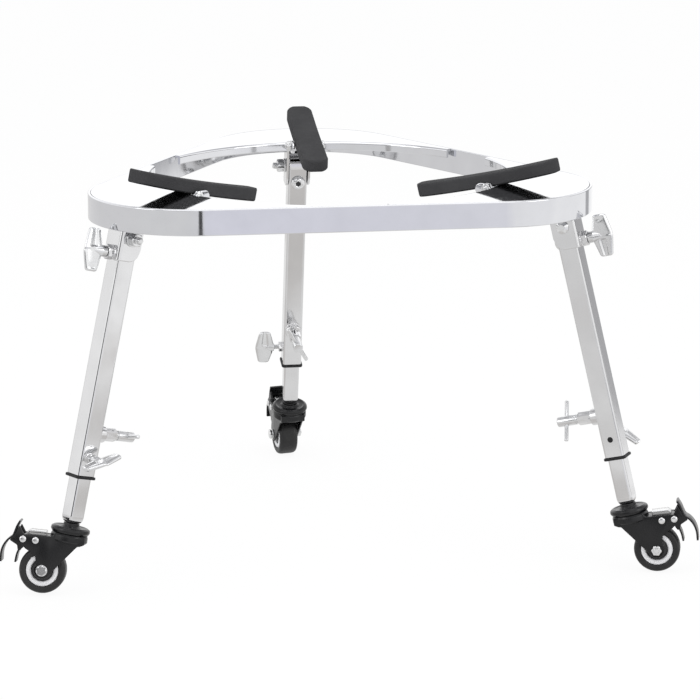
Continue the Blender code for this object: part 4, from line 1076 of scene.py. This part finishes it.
@dataclass
class Caster:
    """A swivel caster: stem, pressed fork, leaf spring, brake lever, axle bolt and wheel."""

    workshop: Workshop
    place: StandFrame
    side: Side
    radius: float = 25 * MM
    half_width: float = 11 * MM
    rim: float = 17.5 * MM
    brake_x: float = 46.7 * MM
    brake_z: float = -25.5 * MM
    rivet_x: float = 33.2 * MM
    rivet_z: float = -24.5 * MM

    def mount(self, form: Form, finish: Finish, body: str, kind: str, angle: float = 38) -> None:
        """Hands a finished form to the workshop in place of this caster's node of a kind."""
        label = self.side.label
        self.workshop.mount(form.build(angle), finish, f"{body}_{label}", f"{kind}_{label}")

    def named(self, name: str) -> Form:
        """An empty form with the caster's label."""
        return Form(f"{name}_{self.side.label}")

    def build(self) -> None:
        """Makes every piece of the caster."""
        self.stem()
        self.fork()
        self.spring()
        self.lever()
        self.axle_bolt()
        self.wheel()

    def stem(self) -> None:
        """The stem, its lock nut, the dished raceway disc with a rolled rim, and the kingpin's head."""
        line = np.array([(0, 12), (4.6, 12), (4.6, -0.3), (8.6, -0.3), (8.6, -3.4), (11.5, -5.4), (15.2, -5.0),
                         (17.6, -4.0), (20.6, -5.8), (21.1, -8.8), (19.4, -11.3), (4, -11.3), (4, -20.9),
                         (7, -20.9), (6.2, -22.4), (0, -22.8)]) * MM
        radius = np.array([0, 0.5, 0.4, 0.8, 0.8, 1.6, 1.6, 1.6, 1.8, 1.8, 1.0, 0, 0, 0.5, 0.8, 0]) * MM
        stem = self.named("raceway_stem").turn(lathe_line(line, radius), self.place.caster(self.side), 72)
        self.mount(stem, Finish.COATED_STEEL, "lower_leg", "caster_stem", 50)

    def fork(self) -> None:
        """The fork: two cheeks with round lobes at the axle, the roof between them and the round crown."""
        turn = np.radians(np.linspace(38, -152, 15))
        lobe = np.stack([21 + 8.5 * np.cos(turn), -55 + 8.5 * np.sin(turn)], axis=-1)
        shape = np.array([(-18, -12), (14, -12), (16, -17), (42, -19.5), (49, -20.8), (51, -25), (48.5, -31),
                          (42, -35.5), (31.5, -39.5)])
        rounded = np.array([1.5, 2, 3, 8, 2, 3, 4, 6, 8])
        front = np.array([(-11.5, -23), (-14, -22.6), (-18.5, -20)])
        corners = np.concatenate([shape, lobe, front]) * MM
        radius = np.concatenate([rounded, np.zeros(15), [4, 1, 1.5]]) * MM
        cheek = filleted(corners, radius, 4)
        place = self.place.caster(self.side)
        fork = self.named("fork_shell")
        for low, high in ((12.5 * MM, 14.5 * MM), (-14.5 * MM, -12.5 * MM)):
            fork.plate(cheek, low, high, 0.7 * MM, place)
        roof = np.array([(-18.2, -20.4), (-17.8, -12.4), (14, -12.4), (16.6, -17.4), (42, -19.8), (48.4, -21),
                         (48.6, -22.8), (42, -21.8), (12, -20.6)]) * MM
        fork.plate(filleted(roof, np.array([1, 1.5, 2, 3, 6, 1, 0.6, 6, 2]) * MM, 4), -13.6 * MM, 13.6 * MM, 0.4 * MM, place)
        crown = np.array([(0, -11.6), (18.6, -11.6), (19.8, -14), (20, -19), (18.6, -20.7), (0, -20.7)]) * MM
        fork.turn(lathe_line(crown, np.array([0, 1, 2, 1.5, 1.2, 0]) * MM), place, 64)
        self.mount(fork, Finish.COATED_STEEL, "caster", "caster_fork")

    def dome(self, form: Form, x: float, z: float, place: Matrix) -> Form:
        """Adds a rivet across the fork: a shank with a flattened dome outside each cheek."""
        turn = np.radians(np.linspace(0, 90, 7))
        face = 14.8 * MM
        cap = np.column_stack([3.7 * MM * np.cos(turn) ** 0.5, face + 1.2 * MM * np.sin(turn)])
        line = np.concatenate([[(2.5 * MM, face)], cap[:-1], [(0, face + 1.2 * MM)]])
        line = np.concatenate([line[::-1], line * (1, -1)])
        return form.turn(line, place @ shifted(x, 0, z) @ turned_to((0, 1, 0)), 32)

    def spring(self) -> None:
        """The bright leaf spring, bent over the roof, with the rivet that holds it."""
        path = np.array([(23.5, -17), (24, -13.8), (41.4, -15.2), (44.4, -18), (44.3, -22.6), (42.4, -24.2),
                         (38, -24.8), (33.2, -25)]) * MM
        outline = filleted(ribbon(path, -1.2 * MM), 0.5 * MM, 3)
        place = self.place.caster(self.side)
        spring = self.named("leaf_spring").plate(outline, -8 * MM, 8 * MM, 0.35 * MM, place)
        self.mount(self.dome(spring, self.rivet_x, self.rivet_z, place), Finish.ZINC, "caster", "brake_spring")

    def lever(self) -> None:
        """The foot lever: a curved pedal, two cheeks with a pointed ear, the shoe tongue, and the bright pin."""
        place = self.place.caster(self.side)
        pedal = smooth_path(np.array([(52.3, -8.0), (54.6, -14), (56, -21), (57.6, -26), (61.6, -30), (65, -36.5),
                                      (66.3, -44.5), (65.3, -54)]) * MM, 29)
        lever = self.named("foot_lever").plate(ribbon(pedal, 2.1 * MM), -11.2 * MM, 11.2 * MM, 0.7 * MM, place)
        cheek = np.array([(43.2, -24), (44, -21.8), (47, -20.5), (53.0, -12.6), (57.2, -25), (61, -29.6), (52, -33.5),
                          (50.5, -38.5), (47.5, -38.5), (44.5, -32), (43.2, -28)]) * MM
        outline = filleted(cheek, np.array([1, 1, 2, 0.6, 2, 1, 2, 1, 1, 2, 1]) * MM, 4)
        for low, high in ((8.9 * MM, 11 * MM), (-11 * MM, -8.9 * MM)):
            lever.plate(outline, low, high, 0.5 * MM, place)
        tongue = smooth_path(np.array([(49.6, -35), (51.6, -43), (51.9, -52)]) * MM, 11)
        lever.plate(ribbon(tongue, -1.8 * MM), -9.5 * MM, 9.5 * MM, 0.5 * MM, place)
        self.mount(lever, Finish.COATED_STEEL, "brake", "brake_lever", 45)
        pin = self.dome(self.named("brake_rivet"), self.brake_x, self.brake_z, place).build()
        label = self.side.label
        self.workshop.detail(pin, Finish.ZINC, f"brake_{label}", f"brake_lever_{label}")

    def axle_bolt(self) -> None:
        """The axle bolt, with a flanged hex head on one side and a nut with the thread's end on the other."""
        face = 14.8 * MM
        axle = self.place.axle(self.side)
        bolt = self.named("axle_screw")
        shank = np.array([(0, -face - 6.2 * MM), (2.6 * MM, -face - 6.2 * MM), (3 * MM, -face - 5.6 * MM), (3 * MM, face), (0, face)])
        bolt.turn(shank, axle, 32)
        flange = np.array([(0, face), (6.1 * MM, face), (6.1 * MM, face + 0.9 * MM), (0, face + 0.9 * MM)])
        turned_head = axle @ Matrix.Rotation(math.radians(15), 4, "Z")
        bolt.turn(lathe_line(flange, 0.3 * MM), axle)
        bolt.turn(nut_rows(10 * MM, 3.5 * MM, face + 0.7 * MM), turned_head)
        bolt.turn(nut_rows(10 * MM, 5 * MM, -face - 5 * MM), turned_head)
        self.mount(bolt, Finish.ZINC, "caster", "axle_bolt")

    def wheel(self) -> None:
        """The tyre with its flat tread and round shoulders, the pale rim rings, and the web and boss, painted near
        black as the shade in the hub's recess.
        """
        half, rim = self.half_width, self.rim
        side = np.array([[rim, half - 1 * MM], [rim + 1.2 * MM, half - 0.3 * MM], [self.radius - 2.2 * MM, half],
                         [self.radius - 0.5 * MM, half - 2.2 * MM], [self.radius, 6 * MM]])
        radius = np.array([0.3, 0.8, 1.8, 3, 6]) * MM
        axle = self.place.axle(self.side)
        label = self.side.label
        profile = filleted(np.concatenate([side, side[::-1] * (1, -1)]), np.concatenate([radius, radius[::-1]]), 5)
        self.mount(self.named("tread").turn(profile, axle, 96, True), Finish.TYRE, "wheel", "tyre", 50)
        pale = np.array([(12.2, 9.9), (13.4, 10.7), (16.4, 10.4), (17.2, 9.6), (17.2, 4), (12.0, 4)]) * MM
        rings = self.named("rim_rings")
        for way in (1, -1):
            line = filleted(pale, np.array([0.5, 0.6, 0.7, 0.4, 0.2, 0.2]) * MM, 4) * (1, way)
            rings.turn(line, axle, 72, True)
        self.mount(rings, Finish.RIM_GREY, "wheel", "wheel_hub")
        # Painted shade: the web and boss take the near-black recess finish to stand for the shade inside the rim rings.
        web = np.array([(3.3, 11.9), (6.2, 11.9), (6.8, 7.4), (12.6, 7.0)]) * MM
        line = np.concatenate([web, web[::-1] * (1, -1)])
        core = self.named("hub_core").turn(filleted(line, 0.6 * MM, 3), axle, 64, True)
        self.workshop.detail(core.build(), Finish.PAINTED_RECESS_SHADE, f"wheel_{label}", f"wheel_hub_{label}")


@dataclass
class Studio:
    """The pale floor, soft lamps and the camera that took the picture."""

    place: StandFrame
    camera_spin: float = math.radians(-8.292)
    camera_at: tuple[float, float, float] = (22.4 * MM, -4070.5 * MM, 1137.0 * MM)
    aim: tuple[float, float, float] = (22.43 * MM, 0.0, 214.35 * MM)
    lens: float = 193.26

    def build(self) -> None:
        """Sets the floor, world, lamps and camera."""
        self.floor()
        self.world()
        self.lamps()
        self.camera()
        bpy.context.scene.view_settings.view_transform = "Standard"

    def turned(self, point: tuple[float, float, float]) -> Vector:
        """A point of the camera's own frame, in the stand's frame."""
        return self.place.axis() @ Matrix.Rotation(self.camera_spin, 4, "Z") @ Vector(point)

    def camera(self) -> None:
        """Sets the camera from the photograph's measured view."""
        data = bpy.data.cameras.new("camera")
        data.sensor_width = 36.0
        data.lens = self.lens
        data.clip_start, data.clip_end = 0.1, 60.0
        camera = bpy.data.objects.new("camera", data)
        bpy.context.scene.collection.objects.link(camera)
        camera.location = self.turned(self.camera_at)
        sight = self.turned(self.aim) - camera.location
        camera.rotation_euler = sight.to_track_quat("-Z", "Y").to_euler()
        bpy.context.scene.camera = camera

    def floor(self) -> None:
        """A wide floor that shows white, keeps a faint shadow, and is pale grey in reflections."""
        grid = np.stack(np.meshgrid(np.linspace(-30, 30, 3), np.linspace(-30, 30, 3), indexing="ij"), axis=-1)
        level = np.full(grid.shape[:2], -0.4 * MM)
        floor = Form("floor").add(np.concatenate([grid, level[..., None]], axis=-1), IDENTITY, False, False).build()
        recipe = Recipe(bpy.data.materials.new("floor_white"))
        recipe.set(Base_Color=(0.95, 0.95, 0.95, 1), Roughness=0.9)
        seen = recipe.ray("Camera") + recipe.ray("Transmission")
        glow = recipe.node("ShaderNodeEmission", {}, {"Color": (1, 1, 1, 1), "Strength": 1.0})
        split = recipe.node("ShaderNodeSeparateXYZ", {}, {0: recipe.place()})
        rightward, backward = Signal(recipe, split.outputs["X"]), Signal(recipe, split.outputs["Y"])
        across = rightward.above(-0.8, 0.9)
        front = recipe.node("ShaderNodeValToRGB", {"stops": [
            (0.0, (0.74, 0.74, 0.74, 1)), (0.42, (0.76, 0.76, 0.78, 1)), (0.52, (0.79, 0.79, 0.87, 1)),
            (0.74, (0.79, 0.79, 0.85, 1)), (1.0, (0.93, 0.93, 0.94, 1))]}, {0: across})
        beside = recipe.node("ShaderNodeValToRGB", {"stops": [
            (0.0, (0.74, 0.735, 0.735, 1)), (0.5, (0.81, 0.81, 0.805, 1)), (0.75, (0.88, 0.88, 0.88, 1)),
            (0.9, (1.0, 1.0, 1.0, 1))]}, {0: across})
        near = backward.above(-1.35, -1.0)
        middle = 1.0 - rightward.maths("ABSOLUTE", rightward).above(0.9, 1.1)
        streaks = recipe.noise(3.4, 2.0, 0.5, (1, 0.45, 1)).above(0.49, 0.59) * near * middle * 0.5
        tint = recipe.mixed(near, front.outputs[0], beside.outputs[0])
        tint = recipe.mixed(streaks, tint, (0.42, 0.385, 0.36))
        reach, rise = rightward - 0.3, backward + 0.1
        wedge = (rise - reach * 0.65).above(0.0, 0.1) * (reach * 1.07 - rise).above(0.0, 0.1)
        stripe = (rightward.above(-0.21, -0.17) * (1.0 - rightward.above(-0.07, -0.045))
                  * (1.0 - backward.above(-1.2, -1.1)))
        far = recipe.mixed(wedge, tint, (0.43, 0.43, 0.44))
        far = recipe.mixed(stripe, far, (0.012, 0.012, 0.013))
        mirrored = recipe.node("ShaderNodeEmission", {}, {"Color": far, "Strength": 1.12})
        first = recipe.node("ShaderNodeMixShader", {}, {0: seen.above(0, 1) * 0.93, 1: recipe.shader.outputs[0],
                                                        2: glow.outputs[0]})
        second = recipe.node("ShaderNodeMixShader", {}, {0: recipe.ray("Glossy") * 0.92, 1: first.outputs[0],
                                                         2: mirrored.outputs[0]})
        recipe.feed(recipe.tree.nodes["Material Output"].inputs["Surface"], second.outputs[0])
        floor.data.materials.append(recipe.owner)

    def world(self) -> None:
        """A surround that the camera sees as white: brightest above the horizon, with a dark room behind the camera."""
        world = bpy.data.worlds.new("surround")
        bpy.context.scene.world = world
        recipe = Recipe(world)
        coordinate = recipe.node("ShaderNodeTexCoord", {}, {})
        split = recipe.node("ShaderNodeSeparateXYZ", {}, {0: coordinate.outputs["Generated"]})
        rightward, backward, upward = (Signal(recipe, split.outputs[axis]) for axis in "XYZ")
        sky = recipe.node("ShaderNodeValToRGB", {"stops": [
            (0.0, (0.76, 0.76, 0.76, 1)), (0.10, (0.78, 0.78, 0.78, 1)), (0.18, (0.96, 0.96, 0.96, 1)),
            (0.42, (0.94, 0.94, 0.95, 1)), (0.7, (0.5, 0.5, 0.51, 1)), (1.0, (0.4, 0.4, 0.41, 1))]}, {0: upward})
        low = 1.0 - upward.above(0.14, 0.26)
        room = (rightward * -0.53 - backward * 0.848).above(0.88, 0.96) * low
        aside = (rightward * 0.866 + backward * 0.5).above(0.80, 0.90) * low
        shade = recipe.mixed(aside, sky.outputs[0], (0.24, 0.24, 0.25))
        shade = recipe.mixed(room, shade, (0.05, 0.05, 0.055))
        recipe.set(Color=recipe.mixed(recipe.ray("Camera"), shade, (1.0, 1.0, 1.0)),
                   Strength=1.4 - recipe.ray("Camera") * 0.4)

    def lamp(self, name: str, at: tuple[float, float, float], size: float, power: float) -> None:
        """A soft square lamp that looks at the stand's middle."""
        data = bpy.data.lights.new(name, "AREA")
        data.shape = "SQUARE"
        data.size = size
        data.energy = power
        lamp = bpy.data.objects.new(name, data)
        bpy.context.scene.collection.objects.link(lamp)
        lamp.location = self.turned(at)
        sight = self.turned((0, 0, 0.25)) - lamp.location
        lamp.rotation_euler = sight.to_track_quat("-Z", "Y").to_euler()

    def lamps(self) -> None:
        """A large lamp overhead and one on each side of the camera."""
        self.lamp("overhead", (0.0, -0.3, 2.6), 2.2, 22.0)
        self.lamp("left_soft", (-2.4, -1.8, 1.6), 1.2, 8.0)
        self.lamp("right_soft", (2.4, -1.6, 1.4), 1.2, 8.0)


def main() -> None:
    """Builds the sub-assemblies in order, then the studio."""
    logging.basicConfig(level=logging.INFO, format="%(name)s: %(message)s")
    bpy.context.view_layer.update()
    place = StandFrame()
    workshop = Workshop()
    Ring(workshop, place).build()
    for side in Side:
        CornerPlate(workshop, place, side).build()
        DrumPad(workshop, place, side).build()
        Leg(workshop, place, side).build()
        Caster(workshop, place, side).build()
    Studio(place).build()


if __name__ == "__main__":
    main()
